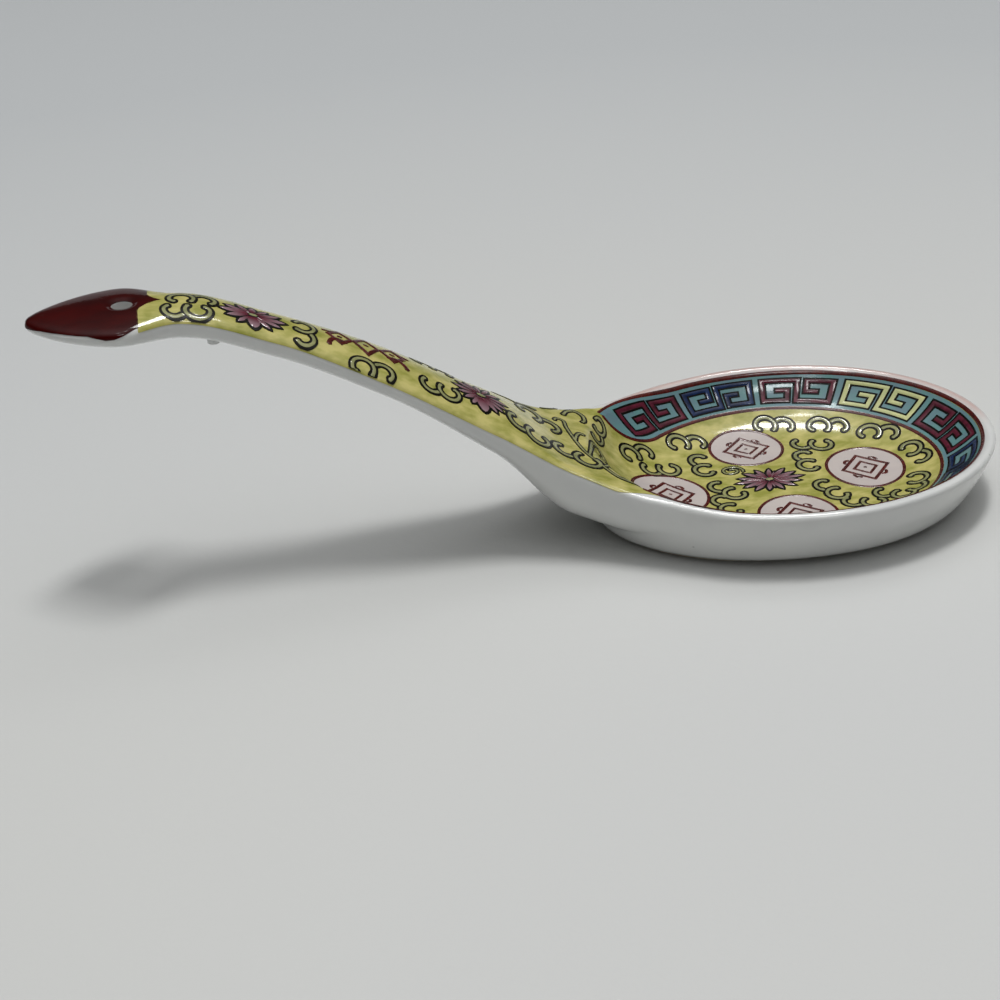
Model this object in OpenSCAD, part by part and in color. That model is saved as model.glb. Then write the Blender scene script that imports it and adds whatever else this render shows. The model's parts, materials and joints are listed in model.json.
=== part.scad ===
// Chinese soup spoon in glazed porcelain with fired enamels.
// X runs from the handle to the bowl's front and Z is up.
// The origin is the bowl's centre, on the foot's face.

/* [Bowl] */
// Length from the bowl's centre to the front of its rim
bowl_front = 31.5; // [28:0.5:35]
// Length from the bowl's centre to the lip where the handle drops into the hollow
bowl_back = 32.4; // [29:0.2:34]
// Half width of the bowl across the rim
bowl_half_width = 24.8; // [22:0.2:28]
// Height of the rim above the table
rim_height = 10.6; // [9.4:0.2:13]
// Height of the hollow's floor above the table
floor_height = 2.9; // [2.6:0.1:3.6]
// Width of the rounded rim
rim_width = 1.7; // [1.3:0.1:2.2]
// Fall of the rim from its crest to its sides
rim_drop = 0.35; // [0.2:0.05:0.5]
// Upright edge between the top and the underside
edge_flat = 0.4; // [0.3:0.05:0.6]
// Width of the flat floor, as a share of the hollow
floor_share = 0.3; // [0.2:0.01:0.4]
// Steepness of the hollow's wall, as a power
hollow_power = 3.4; // [2.8:0.1:4]
// Steepness of the outer wall, as a power
wall_power = 2; // [1.6:0.1:2.4]

/* [Foot] */
// Length from the bowl's centre to the front of the foot
foot_front = 25.4; // [23:0.1:26.4]
// Length from the bowl's centre to the back of the foot
foot_back = 29.4; // [27:0.1:29.8]
// Half width of the foot
foot_half_width = 19.1; // [17.4:0.1:20]
// Squareness of the foot's oval, as a power
foot_power = 2.1; // [2:0.1:2.6]
// Height of the unglazed foot
foot_height = 0.6; // [0.4:0.05:0.8]

/* [Handle] */
// Length from the bowl's centre to the tip of the handle
handle_reach = 107.8; // [104:0.2:112]
// Half width of the handle at its neck, behind the head
neck_half_width = 5; // [4.2:0.1:5.8]
// Half width halfway up the handle
arm_half_width = 6.4; // [5.6:0.1:7.4]
// Half width low on the handle
low_half_width = 7.8; // [7:0.1:9]
// Half width where the handle flares into the bowl
flare_half_width = 11.1; // [10:0.1:12.4]
// Half width at the bowl's shoulder
shoulder_half_width = 15.9; // [15:0.1:16.8]
// Height of the handle's edge at its neck
neck_level = 42; // [40:0.2:44]
// Height of the handle's edge high on the arm
upper_level = 37.6; // [36:0.2:39]
// Height of the handle's edge halfway up
arm_level = 30.4; // [28.6:0.2:32]
// Height of the handle's edge low on the arm
low_level = 20.9; // [19:0.2:22.6]
// Height of the edge where the handle flares into the bowl
flare_level = 14.7; // [13.6:0.1:15.6]
// Depth of the handle below its edge, on the arm
arm_depth = 2.8; // [2.4:0.1:3.6]
// Depth of the handle below its edge, where it flares
flare_depth = 9.2; // [8:0.1:10.4]
// Rise of the handle's domed top, as a share of its half width
crown_share = 0.26; // [0.15:0.01:0.34]
// Roundness of the fillet under the handle's root
root_fillet = 5; // [3:0.5:7]

/* [Head] */
// Half width of the head where it is widest
head_half_width = 8.2; // [7.2:0.1:9.2]
// Height of the head's edge
head_level = 42.4; // [41:0.1:44]
// Depth of the head below its edge
head_depth = 2.4; // [2:0.1:3.2]
// Bore of the hanging hole
hole_bore = 2.8; // [2.2:0.1:3.4]
// Width of the hole's flared mouth
mouth_width = 4.4; // [3.8:0.1:5]
// Depth of the flared mouth
mouth_depth = 0.5; // [0.3:0.05:0.8]

/* [Enamel] */
// Thickness of one layer of enamel
enamel = 0.15; // [0.1:0.01:0.2]
// Width of the iron-red lines
line_width = 0.5; // [0.3:0.05:0.7]
// Width of the strokes of the fret keys
key_stroke = 0.6; // [0.4:0.02:0.7]
// Where the middle of the bowl's pattern lies, behind the bowl's centre
pattern_shift = 2.7; // [1.5:0.1:3.5]
// Radius of a medallion, with its ring
medallion_radius = 6.1; // [5.4:0.1:6.4]
// Middle of the pattern to the centre of a side medallion, as a share of the bowl's half width
side_medallion_share = 0.444; // [0.43:0.002:0.46]
// Middle of the pattern to the centre of an end medallion
end_medallion_reach = 16; // [15:0.1:16.6]
// Clearance between a side medallion and the flower
medallion_gap = 1.1; // [0.8:0.1:1.6]
// Radius of the flower in the bowl, along the spoon
flower_radius = 5.3; // [4.4:0.1:5.8]
// Radius of the flowers on the handle, along the spoon
handle_flower_radius = 4.4; // [3.8:0.1:4.8]
// Length of the knot in the middle of the handle
knot_length = 10.5; // [8.5:0.1:11.5]
// Clearance between a flower on the handle and the scrolls beside it
scroll_gap = 0.4; // [0.3:0.05:0.8]
// Width of the strokes of the scrolls and knots
scroll_stroke = 0.5; // [0.35:0.05:0.65]
// Radius of one curl of a scroll
curl_radius = 1.2; // [1:0.05:1.35]

/* [Kiln spur] */
// Radius of the kiln spur under the handle
spur_radius = 0.9; // [0.6:0.1:1.2]
// How far the spur stands out
spur_rise = 0.4; // [0.25:0.05:0.6]

/* [Hidden] */

// Stations along the handle, as shares of its reach, from the tip to the bowl's centre
tip_share = 1;
head_share = 0.885;
neck_share = 0.815;
upper_share = 0.7;
arm_share = 0.57;
low_share = 0.43;
flare_share = 0.33;
shoulder_share = 0.243;
side_share = 0.12;
station_shares = [tip_share, head_share, neck_share, upper_share, arm_share, low_share,
                  flare_share, shoulder_share, side_share, 0];
stations = [for (share = station_shares) -handle_reach * share];

// Places where the porcelain is split into its nodes
split_share = 0.305;
nape_share = 0.845;
split_x = -handle_reach * split_share;
nape_x = -handle_reach * nape_share;

function clamp(v) = max(0, min(1, v));
function ease(v) = clamp(v) * clamp(v) * (3 - 2 * clamp(v));
function mix(a, b, t) = a + (b - a) * t;

// Smooth curve through stations that never overshoots them
function gap(xs, i) = xs[i + 1] - xs[i];
function rise(xs, ys, i) = (ys[i + 1] - ys[i]) / gap(xs, i);
function tilt(xs, ys, i) =
    i == 0 || i == len(xs) - 1 || rise(xs, ys, i - 1) * rise(xs, ys, i) <= 0 ? 0 :
    let (before = 2 * gap(xs, i) + gap(xs, i - 1), after = gap(xs, i) + 2 * gap(xs, i - 1))
    (before + after) / (before / rise(xs, ys, i - 1) + after / rise(xs, ys, i));
function span_at(xs, x, i = 0) = i >= len(xs) - 2 || x < xs[i + 1] ? i : span_at(xs, x, i + 1);
function through(xs, ys, x) =
    let (i = span_at(xs, x), h = gap(xs, i), t = clamp((x - xs[i]) / h))
    ys[i] * (1 + 2 * t) * (1 - t) * (1 - t) + tilt(xs, ys, i) * h * t * (1 - t) * (1 - t)
    + ys[i + 1] * t * t * (3 - 2 * t) + tilt(xs, ys, i + 1) * h * t * t * (t - 1);

function oval_half_width(x, back) = bowl_half_width * sqrt(max(0, 1 - pow(x / back, 2)));
widths = [head_half_width, head_half_width, neck_half_width, neck_half_width,
          arm_half_width, low_half_width, flare_half_width, shoulder_half_width,
          oval_half_width(stations[8], bowl_back), bowl_half_width];
shoulder_rise_share = 0.25;
levels = [head_level, head_level, neck_level, upper_level, arm_level, low_level, flare_level,
          mix(rim_height, flare_level, shoulder_rise_share), rim_height, rim_height];
tip_depth_share = 0.6;
low_depth_share = 0.25;
depths = [head_depth * tip_depth_share, head_depth, arm_depth, arm_depth, arm_depth,
          mix(arm_depth, flare_depth, low_depth_share), flare_depth, flare_depth, flare_depth, flare_depth];
head_crown_share = 0.12;
neck_crown_share = 0.2;
upper_crown_share = 0.23;
crown_shares = [head_crown_share, head_crown_share, neck_crown_share, upper_crown_share,
                crown_share, crown_share, 0, 0, 0, 0];

// The head narrows to its tip as a leaf
leaf_power = 1.7;
leaf_tip_power = 0.72;
function leaf(x) =
    x >= stations[1] ? 1 :
    pow(1 - pow((stations[1] - x) / (stations[1] - stations[0]), leaf_power), leaf_tip_power);
function half_width(x) = through(stations, widths, x) * leaf(x);
function level(x) = through(stations, levels, x);
function depth(x) = through(stations, depths, x);
function crown(x) = through(stations, crown_shares, x) * half_width(x);

// How far out a plan point lies in the bowl: 0 at its centre and 1 at its oval
function reach(p) = norm([p.x / (p.x > 0 ? bowl_front : bowl_back), p.y / bowl_half_width]);
// Distance from a plan point out to the bowl's oval, along its own ray
function to_oval(p) = norm(p) * (1 - reach(p)) / max(reach(p), 0.001);
function hollow(p) =
    let (r = reach(p), ray = norm(p) / max(r, 0.001), u = r / (1 - rim_width / max(ray, rim_width * 2)))
    r < 0.001 ? 0 : pow(clamp((u - floor_share) / (1 - floor_share)), hollow_power);
// Share of a plan point, along its own ray, at which the foot's oval ends
function foot_reach(p) =
    pow(pow(abs(p.x) / (p.x > 0 ? foot_front : foot_back), foot_power)
        + pow(abs(p.y) / foot_half_width, foot_power), 1 / foot_power);
function wall(p) =
    let (r = reach(p), f = r / max(foot_reach(p), 0.001), u = (r - f) / (1 - f))
    r < 0.001 ? 0 : r > 1 ? 1 + (r - 1) * wall_power / (1 - f) : pow(clamp(u), wall_power);
// Share of the way from the middle line to the edge, and the distance left to the edge
function across(p) = p.x >= 0 ? reach(p) : clamp(abs(p.y) / half_width(p.x));
function to_edge(p) = p.x >= 0 ? to_oval(p) : half_width(p.x) * (1 - across(p));

function land(p) = level(min(p.x, 0)) + crown(min(p.x, 0)) * (1 - pow(across(p), 2));
function top_at(p) =
    let (
        inner = pow(clamp(2 * to_oval(p) / rim_width - 1), 2),
        outer = pow(clamp(1 - 2 * to_edge(p) / rim_width), 2)
    )
    mix(floor_height, land(p) - rim_drop * inner, hollow(p)) - rim_drop * outer;
function base(p) = level(min(p.x, 0)) - rim_drop - edge_flat;
function soft_min(a, b, k) = let (h = clamp(1 - abs(a - b) / max(k, 0.001))) min(a, b) - h * h * k / 4;
bar_power = 2.6;
join_share = 0.1;
function under_at(p) =
    let (
        outer = mix(foot_height, base(p), wall(p)),
        round_share = pow(1 - pow(across(p), bar_power), 1 / bar_power),
        bar = base(p) - depth(min(p.x, 0)) * sqrt(leaf(p.x)) * round_share,
        join = ease((-handle_reach * side_share - p.x) / (handle_reach * join_share)),
        k = root_fillet * (1 - pow(across(p), 2)) * join
    )
    p.x >= 0 ? outer : max(foot_height, mix(outer, soft_min(outer, bar, k), join));

// Perimeter of the bowl, counter-clockwise from the near side
front_steps = 24;
side_steps = 9;
column_steps = 8;
function column(k) = -cos(180 * k / column_steps);
function oval_point(angle) =
    let (
        length = cos(angle) > 0 ? bowl_front : bowl_back,
        r = 1 / norm([cos(angle) / length, sin(angle) / bowl_half_width])
    )
    [r * cos(angle), r * sin(angle)];
bowl_edge = [
    for (i = [0:front_steps]) oval_point(-90 + 180 * i / front_steps),
    for (i = [1:side_steps]) let (x = split_x * i / side_steps) [x, half_width(x)],
    for (k = [column_steps - 1:-1:1]) [split_x, half_width(split_x) * column(k)],
    for (i = [side_steps:-1:1]) let (x = split_x * i / side_steps) [x, -half_width(x)]
];
function on_rim(k) = k <= front_steps + side_steps || k > front_steps + side_steps + column_steps - 2;
function inset(p, d) = p * (1 - d / norm(p));
bowl_inner = [for (k = [0:len(bowl_edge) - 1]) inset(bowl_edge[k], on_rim(k) ? rim_width : enamel * 2)];
top_shares = [0.16, 0.34, 0.46, 0.56, 0.65, 0.73, 0.79, 0.84, 0.885, 0.925, 0.96, 1];
under_shares = [0.06, 0.14, 0.26, 0.4, 0.56, 0.76];

function foot_edge(p) = p / foot_reach(p);
function raised(p, lift) = [p.x, p.y, top_at(p) + lift];
function lowered(p) = [p.x, p.y, under_at(p)];
// Triangles between two rings of n points, the second ring further along
function band(a, b, n) = [
    for (k = [0:n - 1]) let (m = (k + 1) % n) each [[a + k, b + k, b + m], [a + k, b + m, a + m]]
];

module bowl() {
    n = len(bowl_edge);
    rings = [
        for (share = top_shares) [for (p = bowl_inner) raised(p * share, 0)],
        [for (k = [0:n - 1]) raised((bowl_inner[k] + bowl_edge[k]) / 2, 0)],
        [for (p = bowl_edge) raised(p, 0)],
        [for (p = bowl_edge) lowered(p)],
        for (share = under_shares) [for (p = bowl_edge) lowered(mix(p, foot_edge(p), share))],
        [for (p = bowl_edge) lowered(foot_edge(p))]
    ];
    last = len(rings) - 1;
    points = [[0, 0, floor_height], for (ring = rings) each ring, [0, 0, foot_height]];
    faces = [
        for (k = [0:n - 1]) [0, 1 + k, 1 + (k + 1) % n],
        for (r = [0:last - 1]) each band(1 + r * n, 1 + (r + 1) * n, n),
        for (k = [0:n - 1]) [1 + last * n + k, 1 + (last + 1) * n, 1 + last * n + (k + 1) % n]
    ];
    color("#f2f1ec") polyhedron(points, [for (f = faces) [f[2], f[1], f[0]]], convexity = 6);
}

// Closed section across the handle, seen from the tip: the top from near to far, then the underside
function section(x) =
    let (w = half_width(x))
    [
        for (k = [0:column_steps]) raised([x, w * column(k)], 0),
        for (k = [column_steps:-1:0]) lowered([x, w * column(k)])
    ];
module loft(places) {
    sections = [for (x = places) section(x)];
    n = len(sections[0]);
    last = len(sections) - 1;
    faces = [
        [for (k = [n - 1:-1:0]) k],
        for (r = [0:last - 1]) each [for (f = band(r * n, (r + 1) * n, n)) [f[2], f[1], f[0]]],
        [for (k = [0:n - 1]) last * n + k]
    ];
    polyhedron([for (s = sections) each s], faces, convexity = 6);
}

arm_steps = 20;
module handle() {
    color("#f2f1ec") loft([for (i = [0:arm_steps]) mix(nape_x, split_x, i / arm_steps)]);
}

head_steps = 12;
tip_cut = 0.15;
head_places = [for (i = [0:head_steps]) mix(stations[0] + tip_cut, nape_x, 1 - cos(90 * i / head_steps))];
hole_share = 0.88;
hole_x = -handle_reach * hole_share;
module handle_head() {
    mouth_z = top_at([hole_x, 0]);
    color("#f2f1ec") difference() {
        loft(head_places);
        translate([hole_x, 0, mouth_z - 2 * (head_depth + rim_height)])
            cylinder(d = hole_bore, h = 4 * (head_depth + rim_height), $fn = 48);
        translate([hole_x, 0, mouth_z - mouth_depth])
            cylinder(d1 = hole_bore, d2 = mouth_width, h = mouth_depth, $fn = 48);
        translate([hole_x, 0, mouth_z])
            cylinder(d = mouth_width, h = rim_height, $fn = 48);
    }
}

foot_steps = 48;
foot_margin = 0.4;
module foot() {
    color("#e9e2d2") linear_extrude(foot_height) polygon([
        for (i = [0:foot_steps - 1]) let (angle = 360 * i / foot_steps)
        inset(foot_edge([cos(angle), sin(angle)]), foot_margin)
    ]);
}

spur_share = 0.775;
spur_side_share = 0.4;
spur_taper_share = 0.6;
module kiln_spur() {
    place = [-handle_reach * spur_share, -neck_half_width * spur_side_share];
    color("#efece4") translate([place.x, place.y, under_at(place) - spur_rise])
        cylinder(r1 = spur_radius * spur_taper_share, r2 = spur_radius, h = spur_rise, $fn = 24);
}

// Layers of enamel. Each lies on the porcelain or on the layer below it.
function turned(faces, keep) = keep ? faces : [for (f = faces) [f[2], f[1], f[0]]];
function left_turn(a, b, c) = (b.x - a.x) * (c.y - a.y) > (b.y - a.y) * (c.x - a.x);
function walls(loop, n) = [
    for (k = [0:len(loop) - 1]) let (p = loop[k], q = loop[(k + 1) % len(loop)])
    each [[p, q, q + n], [p, q + n, p + n]]
];
// Height of a layer's underside over the porcelain, with a seat's clearance under each upper layer
seat_gap = 0.08;
function seat(layer) = layer * (enamel + seat_gap);
// Open sheet over a grid of plan points
module sheet(grid, layer) {
    rows = len(grid);
    cols = len(grid[0]);
    n = rows * cols;
    flat = [for (row = grid) each row];
    points = [for (p = flat) raised(p, seat(layer) + enamel), for (p = flat) raised(p, seat(layer))];
    cells = [
        for (i = [0:rows - 2], j = [0:cols - 2]) let (a = i * cols + j, b = a + cols)
        each [[a, b + 1, b], [a, a + 1, b + 1]]
    ];
    loop = [
        for (i = [0:rows - 1]) i * cols,
        for (j = [1:cols - 1]) (rows - 1) * cols + j,
        for (i = [rows - 2:-1:0]) i * cols + cols - 1,
        for (j = [cols - 2:-1:1]) j
    ];
    faces = [
        each cells,
        for (f = cells) [f[2] + n, f[1] + n, f[0] + n],
        each walls(loop, n)
    ];
    polyhedron(points, turned(faces, left_turn(grid[0][0], grid[1][0], grid[0][1])), convexity = 8);
}
// Closed patch of rings, counter-clockwise, round a middle point; without the middle it is a ring
module patch(rings, layer, middle = undef) {
    n = len(rings[0]);
    last = len(rings) - 1;
    flat = [for (ring = rings) each ring, if (middle != undef) middle];
    m = len(flat);
    points = [for (p = flat) raised(p, seat(layer) + enamel), for (p = flat) raised(p, seat(layer))];
    cells = [
        for (r = [0:last - 1]) each band(r * n, (r + 1) * n, n),
        if (middle != undef) for (k = [0:n - 1]) [m - 1, k, (k + 1) % n]
    ];
    faces = [
        for (f = cells) [f[2], f[1], f[0]],
        for (f = cells) [f[0] + m, f[1] + m, f[2] + m],
        each walls([for (k = [0:n - 1]) last * n + k], m),
        if (middle == undef) each walls([for (k = [n - 1:-1:0]) k], m)
    ];
    polyhedron(points, faces, convexity = 8);
}
// Even stroke along a path of plan points
function unit(v) = v / max(norm(v), 0.000001);
function heading(path, k) =
    unit(unit(path[min(k + 1, len(path) - 1)] - path[k]) + unit(path[k] - path[max(k - 1, 0)]));
function mitre(path, k) =
    k == 0 || k == len(path) - 1 ? 1 : 1 / max(0.6, unit(path[k + 1] - path[k]) * heading(path, k));
module stroke(path, width, layer) {
    sheet([
        for (k = [0:len(path) - 1])
        let (h = heading(path, k), side = [-h.y, h.x] * width / 2 * mitre(path, k))
        [path[k] - side, path[k] + side]
    ], layer);
}

lemon = "#d9cf4a";
iron_red = "#8c2a20";
plum = "#7c2f55";
olive = "#5b6238";

module bowl_ground() {
    color(lemon) patch([for (share = top_shares) bowl_inner * share], 0, [0, 0]);
}

// The head's enamel ends in a bracket: two scallops that meet in a cusp on the middle line
ground_margin = 0.5;
scallop_share = 0.861;
cusp_share = 0.836;
cusp_width_share = 0.42;
cusp_power = 1.7;
function cusp_rise(k) = pow(clamp(1 - abs(column(k)) / cusp_width_share), cusp_power);
function bracket(k) = -handle_reach * mix(scallop_share, cusp_share, cusp_rise(k));
function across_top(xs, margin) = [
    for (k = [0:column_steps]) [xs[k], max(half_width(xs[k]) - margin, half_width(xs[k]) / 2) * column(k)]
];
module handle_ground() {
    color(lemon) sheet([
        for (i = [0:arm_steps])
        across_top([for (k = [0:column_steps]) mix(bracket(k), split_x, i / arm_steps)], ground_margin)
    ], 0);
}

module head_enamel() {
    color("#5a120c") difference() {
        sheet([
            for (i = [0:head_steps])
            let (share = 1 - cos(90 * i / head_steps))
            across_top(
                [for (k = [0:column_steps]) mix(stations[0] + tip_cut, bracket(k), share)], ground_margin / 4
            )
        ], 0);
        translate([hole_x, 0, top_at([hole_x, 0]) - rim_height])
            cylinder(d = mouth_width, h = 2 * rim_height, $fn = 48);
    }
}

// The fret band runs round the hollow's wall, from one side of the handle to the other, with round ends
band_turn = 148;
band_low_share = 0.765;
band_round_turn = 12;
band_round_share = 0.8;
band_steps = 52;
end_spacing_share = 0.25;
function rim_share(angle) = 1 - rim_width / norm(oval_point(angle));
function bowl_point(angle, share) = oval_point(angle) * share;
function band_angle(s) = band_turn * mix(s, s * (3 - s * s) / 2, end_spacing_share);
band_angles = [for (i = [0:band_steps]) band_angle(2 * i / band_steps - 1)];
function line_share(angle) = line_width / norm(oval_point(angle));
function high_share(angle) = rim_share(angle) - line_share(angle);
function round_end(angle) =
    let (u = clamp((abs(angle) - band_turn + band_round_turn) / band_round_turn))
    band_round_share * (1 - sqrt(1 - u * u));
function low_share(angle) = mix(band_low_share, high_share(angle), round_end(angle));
band_row_shares = [0, 0.25, 0.5, 0.75, 1];
module fret_band() {
    color("#5fa7a8") sheet([
        for (angle = band_angles)
        [for (share = band_row_shares) bowl_point(angle, mix(low_share(angle), high_share(angle), share))]
    ], 1);
}
module rim_line() {
    color(iron_red) sheet([
        for (angle = band_angles) [bowl_point(angle, high_share(angle)), bowl_point(angle, rim_share(angle))]
    ], 1);
}
module band_line() {
    color(iron_red) sheet([
        for (angle = band_angles)
        [bowl_point(angle, low_share(angle) - line_share(angle)), bowl_point(angle, low_share(angle))]
    ], 1);
}

// Two keys make a pair: square spirals joined by a stem, in a cell 2 wide and 1 high
pair_count = 9;
key_margin_share = 0.09;
spiral_shares = [
    [0.36, 0.64], [0.66, 0.64], [0.66, 0.06], [0.36, 0.06], [0.06, 0.06], [0.06, 0.5], [0.06, 0.94],
    [0.37, 0.94], [0.68, 0.94], [1, 0.94]
];
pair_shares = concat(
    spiral_shares, [[1, 0.5]], [for (k = [len(spiral_shares) - 1:-1:0]) [2, 1] - spiral_shares[k]]
);
// Turns that share the oval's length evenly among the pairs
oval_lengths = [
    for (i = 0, run = 0; i <= band_steps;
         run = i < band_steps ? run + norm(oval_point(band_angles[i + 1]) - oval_point(band_angles[i])) : run,
         i = i + 1) run
];
function turn_at(run) = through(oval_lengths, band_angles, run * oval_lengths[band_steps]);
// Kinds of pairs, repeated from the near end of the band, and those that stand upside down
pair_kinds = ["plum", "straw", "plum", "blue"];
pair_flips = [false, true, false, false, true, false, false, true, false];
function kind(i) = pair_kinds[i % len(pair_kinds)];
module key_pair(i) {
    path = [
        for (cell = pair_shares)
        let (
            u = 1 - cell.x / 2,
            v = mix(key_margin_share, 1 - key_margin_share, pair_flips[i] ? 1 - cell.y : cell.y),
            angle = turn_at((i + mix(key_margin_share / 2, 1 - key_margin_share / 2, u)) / pair_count)
        )
        bowl_point(angle, mix(low_share(angle), high_share(angle), v))
    ];
    stroke(path, key_stroke, 2);
}
module keys(name) { for (i = [0:pair_count - 1]) if (kind(i) == name) key_pair(i); }
module plum_keys() { color(plum) keys("plum"); }
module blue_keys() { color("#2f4a8a") keys("blue"); }
module straw_keys() { color("#dcd795") keys("straw"); }

// Four medallions round the flower
centre = [-pattern_shift, 0];
side_medallion_reach = bowl_half_width * side_medallion_share;
medallion_places = [
    centre + [end_medallion_reach, 0], centre + [0, side_medallion_reach],
    centre - [end_medallion_reach, 0], centre - [0, side_medallion_reach]
];
round_steps = 24;
function ring_at(place, radius) = [
    for (i = [0:round_steps - 1]) let (a = 360 * i / round_steps) place + radius * [cos(a), sin(a)]
];
module medallions() {
    inner = medallion_radius - line_width;
    color("#f6f3f0") for (place = medallion_places)
        patch([ring_at(place, inner / 2), ring_at(place, inner)], 1, place);
}
module medallion_rings() {
    color(iron_red) for (place = medallion_places)
        patch([ring_at(place, medallion_radius - line_width), ring_at(place, medallion_radius)], 1);
}
// Knot of two rhombs, one in the other, a common ornament that stands for no word
module rhomb(place, long, wide, layer) {
    inner = 1 - scroll_stroke * norm([long, wide]) / (long * wide);
    ends = [[long, 0], [0, wide], [-long, 0], [0, -wide]];
    loop = [for (k = [0:3]) each [ends[k], (ends[k] + ends[(k + 1) % 4]) / 2]];
    patch([[for (p = loop) place + p * inner], [for (p = loop) place + p]], layer);
}
outer_rhomb_share = 0.62;
inner_rhomb_share = 0.34;
module medallion_knots() {
    color(iron_red) for (place = medallion_places, share = [outer_rhomb_share, inner_rhomb_share])
        rhomb(place, medallion_radius * share, medallion_radius * share, 2);
}

// Flower of pointed petals round a middle
petal_count = 12;
petal_fill_share = 0.86;
petal_start_share = 0.3;
petal_widest_share = 0.7;
petal_tip_share = 0.12;
module flower(place, long, wide, layer) {
    for (k = [0:petal_count - 1]) {
        a = 360 * (k + 0.5) / petal_count;
        half = 180 / petal_count * petal_fill_share;
        out = [for (turn = [a - half, a, a + half]) [long * cos(turn), wide * sin(turn)]];
        sheet([
            [place + out[0] * petal_start_share, place + out[2] * petal_start_share],
            [place + out[0] * petal_widest_share, place + out[2] * petal_widest_share],
            [place + mix(out[1], out[0], petal_tip_share), place + mix(out[1], out[2], petal_tip_share)]
        ], layer);
    }
}
flower_half_width = side_medallion_reach - medallion_radius - medallion_gap;
module bowl_flower() { color(plum) flower(centre, flower_radius, flower_half_width, 1); }
upper_flower_share = 0.727;
lower_flower_share = 0.45;
flower_width_share = 0.62;
upper_flower = [-handle_reach * upper_flower_share, 0];
lower_flower = [-handle_reach * lower_flower_share, 0];
module handle_flowers() {
    color(plum) for (place = [upper_flower, lower_flower])
        flower(place, handle_flower_radius, half_width(place.x) * flower_width_share, 1);
}

// Ornament of three rhombs along the handle, a little to the far side
knot_share = 0.585;
knot_side_share = 0.14;
knot_width_share = 0.45;
knot_end_share = 0.34;
knot_place = [-handle_reach * knot_share, half_width(-handle_reach * knot_share) * knot_side_share];
module handle_knot() {
    link = knot_length / 3;
    wide = half_width(knot_place.x);
    color(iron_red) for (shift = [-1, 0, 1])
        rhomb(knot_place + [shift * link, 0], link / 2 - scroll_stroke / 2,
              wide * (shift == 0 ? knot_width_share : knot_end_share), 1);
}

// Cloud scroll of two curls that meet in a cusp and bulge towards the turn
curl_steps = 6;
curl_from = -80;
curl_to = 160;
module scroll(place, turn) {
    for (side = [-1, 1]) {
        hub = place + curl_radius * side * [-sin(turn), cos(turn)];
        stroke([
            for (i = [0:curl_steps]) let (a = turn + side * mix(curl_from, curl_to, i / curl_steps))
            hub + curl_radius * [cos(a), sin(a)]
        ], scroll_stroke, 1);
    }
}
// Places of the scrolls in the bowl, as shares of its half lengths, and the way each one bulges
bowl_scroll_shares = [
    [-0.82, 0.38, -15], [-0.83, 0.05, 240], [-0.66, 0.4, 114], [-0.55, 0.23, 277], [-0.37, 0.56, 92],
    [-0.35, 0.27, 180], [-0.27, -0.1, 215], [-0.37, -0.27, 190], [0.11, 0.65, 77], [0.25, 0.38, 253],
    [0.16, 0.17, 180], [0.38, 0.53, 69], [0.59, 0.34, 59], [0.68, 0.01, 5], [0.16, -0.2, 200],
    [0.27, -0.4, 250], [0.55, -0.36, 335], [-0.66, -0.4, 246], [-0.55, -0.23, 83], [-0.37, -0.56, 268],
    [0.11, -0.65, 283], [0.38, -0.56, 291], [-0.82, -0.38, 15]
];
scroll_half_length = 2 * curl_radius + scroll_stroke / 2;
beside = handle_flower_radius + scroll_gap;
tail_share = 0.1;
// Scrolls on the handle: distance along it, share of its half width, and the way each one bulges
handle_scrolls = [
    [upper_flower.x - beside - scroll_half_length, 0.42, 90],
    [upper_flower.x - beside - scroll_half_length, -0.42, 270],
    [upper_flower.x + beside + curl_radius, -0.1, 0],
    [knot_place.x - knot_length * tail_share, -0.66, 90],
    [lower_flower.x - beside - scroll_half_length, -0.5, 270],
    [lower_flower.x - beside - scroll_half_length, 0.5, 90],
    [lower_flower.x + beside + scroll_half_length, -0.42, 262],
    [lower_flower.x + beside + scroll_half_length, 0.38, 70],
    [lower_flower.x + beside + 3 * scroll_half_length, -0.45, 250]
];
module scroll_work() {
    color(olive) {
        for (share = bowl_scroll_shares)
            let (length = share[0] > 0 ? bowl_front : bowl_back)
            scroll([length * share[0], bowl_half_width * share[1]], share[2]);
        for (place = handle_scrolls) scroll([place[0], half_width(place[0]) * place[1]], place[2]);
    }
}

bowl();
handle();
handle_head();
foot();
kiln_spur();
bowl_ground();
handle_ground();
head_enamel();
fret_band();
rim_line();
band_line();
plum_keys();
blue_keys();
straw_keys();
medallions();
medallion_rings();
medallion_knots();
bowl_flower();
handle_flowers();
handle_knot();
scroll_work();
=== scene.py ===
import json
import logging
import math
from contextlib import contextmanager
from dataclasses import dataclass, field
from enum import Enum
from functools import cache
from typing import Callable, Iterator, Optional, Sequence

import bpy
import numpy as np
from mathutils import Matrix, Vector

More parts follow.
